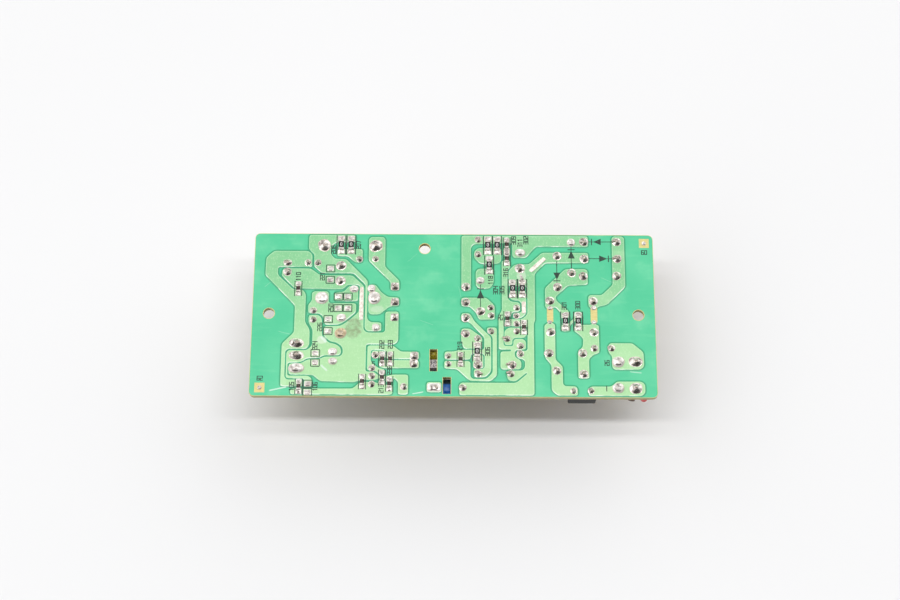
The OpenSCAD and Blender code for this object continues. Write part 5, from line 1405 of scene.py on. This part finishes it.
# %% The tape and the run-down coating
TAPE = (52.2, 12.45, UNDERSIDE - 0.78), (56.0, 16.6, UNDERSIDE - 0.6)
RUN_DOWN = (56.0, 1.75, UNDERSIDE - 2.4), (60.2, 6.3, UNDERSIDE - 0.3)
SHADE_UP_TO, BLUE_FROM = 4.3, 4.9  # layout mm
slot_tape = Finish("slot_tape")
tape_crease = slot_tape.noise(1.6, 3, seed=57)
slab("tape_on_coupler", *TAPE, slot_tape.surface(
    slot_tape.mix(tape_crease.step(0.35, 0.7), linear(190, 176, 52), linear(140, 128, 40)),
    tape_crease * 0.2 + 0.3, relief=tape_crease, relief_mm=0.05), "yellow_tape")
run_down = Finish("coating_run_down")
run_sag, run_spot = run_down.noise(0.8, 3, seed=58), run_down.noise(3, 2, seed=59)
run_colour = run_down.mix(run_sag.step(0.35, 0.7), linear(22, 110, 196), linear(14, 84, 168))
# Painted shade: the near part of the run-down is dark teal, and it turns blue further in.
run_colour = run_down.mix((run_down.y + BOARD_WIDTH / 2).step(SHADE_UP_TO, BLUE_FROM), run_colour,
                          linear(14, 34, 36))
slab("coating_under_the_slot", *RUN_DOWN, run_down.surface(
    run_colour, run_spot * 0.15 + 0.25, relief=run_sag, relief_mm=0.15), "blue_coating", True)

# %% [markdown]
# ### Wires and leads
#
# The two input tails share one mesh, so their colours are told apart by place: red, with a dull
# brown second tail and a dull end. Every bare lead is tinned copper, which is bright but never
# even, so its tone drifts along it.

# %% The input tails
SECOND_TAIL, TAIL_END_X, TAIL_END_DROP = 5.2, 114.25, 3.5  # layout mm, and mm under the board
wire = Finish("wire_insulation")
sheen = wire.noise(0.9, 3, seed=54)
tail_end = ((wire.x + BOARD_LENGTH / 2).step(TAIL_END_X + 0.1, TAIL_END_X)
            * wire.z.step(UNDERSIDE - TAIL_END_DROP, UNDERSIDE - TAIL_END_DROP - 1))
second = (wire.y + BOARD_WIDTH / 2).step(SECOND_TAIL, SECOND_TAIL + 0.2).most(tail_end)
dress(wire.surface(
    wire.mix(second, wire.mix(sheen.step(0.3, 0.7), linear(224, 28, 18), linear(200, 20, 14)),
             linear(128, 110, 98)), sheen * 0.15 + 0.3, relief=sheen, relief_mm=0.03),
      "input_wire_insulation")

# %% Tinned leads
tinned = Finish("tinned_wire")
tin_tone = tinned.noise(1.5, 4, seed=55)
dress(tinned.surface(
    tinned.mix(tin_tone.step(0.35, 0.7), linear(214, 210, 204), linear(168, 160, 152)),
    tin_tone * 0.25 + 0.2, 1.0, relief=tin_tone, relief_mm=0.02),
      "transformer_pins", "bulk_capacitor_leads", "small_capacitor_leads", "mains_choke_pins",
      "suppression_capacitor_leads", "fuse_leads", "thermistor_leads", "varistor_leads",
      "rectifier_leads", "output_diode_leads", "safety_capacitor_leads", "disc_capacitor_leads",
      "axial_resistor_leads", "control_chip_legs", "optocoupler_legs", "regulator_legs",
      "output_choke_leads", "jumper_wires", "header_pins", "input_wire_strands")

# %% [markdown]
# ### Printing on the component face
#
# Outlines of the parts are printed in white on the bare laminate there. They could be part of a
# second sheet, but the laminate is flat, so thin flat bars just off its face do. Each outline
# follows the box of the part that hangs in it, a little larger, in short bars, and a bar that
# would cross a hole or a slot is left out.

# %% The white ink
white_ink = Finish("white_ink")
white_wear = white_ink.noise(2.0, 3, seed=56)
white_material = white_ink.surface(
    white_ink.mix(white_wear.step(0.4, 0.75), linear(238, 238, 232), linear(206, 204, 190)),
    white_wear * 0.2 + 0.45)
print("ink nodes:", len(white_ink.tree.nodes))


# %% Outlines under the board
def printed_line(corners, stroke=0.24, bar_length=1.1, clearance=0.7):
    """Short bars along a line of corners, left out where they would cross a hole or slot."""
    bars = []
    for start, end in zip(corners, corners[1:]):
        steps = max(1, round(math.dist(start, end) / bar_length))
        spots = [np.array(start) + (np.array(end) - start) * k / steps for k in range(steps + 1)]
        bars += [(a, b) for a, b in zip(spots, spots[1:])]
    middles = np.array([(a + b) / 2 for a, b in bars])
    clear = distance_to(middles, cut_outs) > clearance
    for outline in cut_outs:
        clear &= ~inside(middles, outline)
    return [bar_shape(a, b, stroke) for (a, b), kept in zip(bars, clear) if kept]


ROUND_THE_PART, ROUND_THE_CAN, FROM_THE_EDGE = 0.45, 0.5, 0.4
BOXED_PARTS = ["suppression_capacitor_cases", "fuse_base", "thermistor_disc", "varistor_disc",
               "safety_capacitor_disc", "disc_capacitor_bodies", "rectifier_bodies",
               "output_diode_bodies", "axial_resistor_body", "control_chip_body",
               "optocoupler_body", "header_housing", "mains_choke_bobbin", "transformer_bobbin"]
outlines = []
for node in ("bulk_capacitor_sleeve", "small_capacitor_sleeves"):
    for x, y, width, depth, *rest in solids_of(node):
        radius = width / 2 + ROUND_THE_CAN
        outlines += printed_line([(x + radius * math.cos(a), y + radius * math.sin(a))
                                  for a in (2 * math.pi * k / 32 for k in range(33))])
for node in BOXED_PARTS:
    for x, y, width, depth, *rest in solids_of(node):
        (left, right), (low, high) = (
            (max(middle - size / 2 - ROUND_THE_PART, FROM_THE_EDGE),
             min(middle + size / 2 + ROUND_THE_PART, whole - FROM_THE_EDGE))
            for middle, size, whole in ((x, width, BOARD_LENGTH), (y, depth, BOARD_WIDTH)))
        outlines += printed_line([(left, low), (right, low), (right, high), (left, high),
                                  (left, low)])
flat_shapes("outlines_under_the_board", outlines, UNDERSIDE - ABOVE_SURFACE, white_material,
            downwards=True)
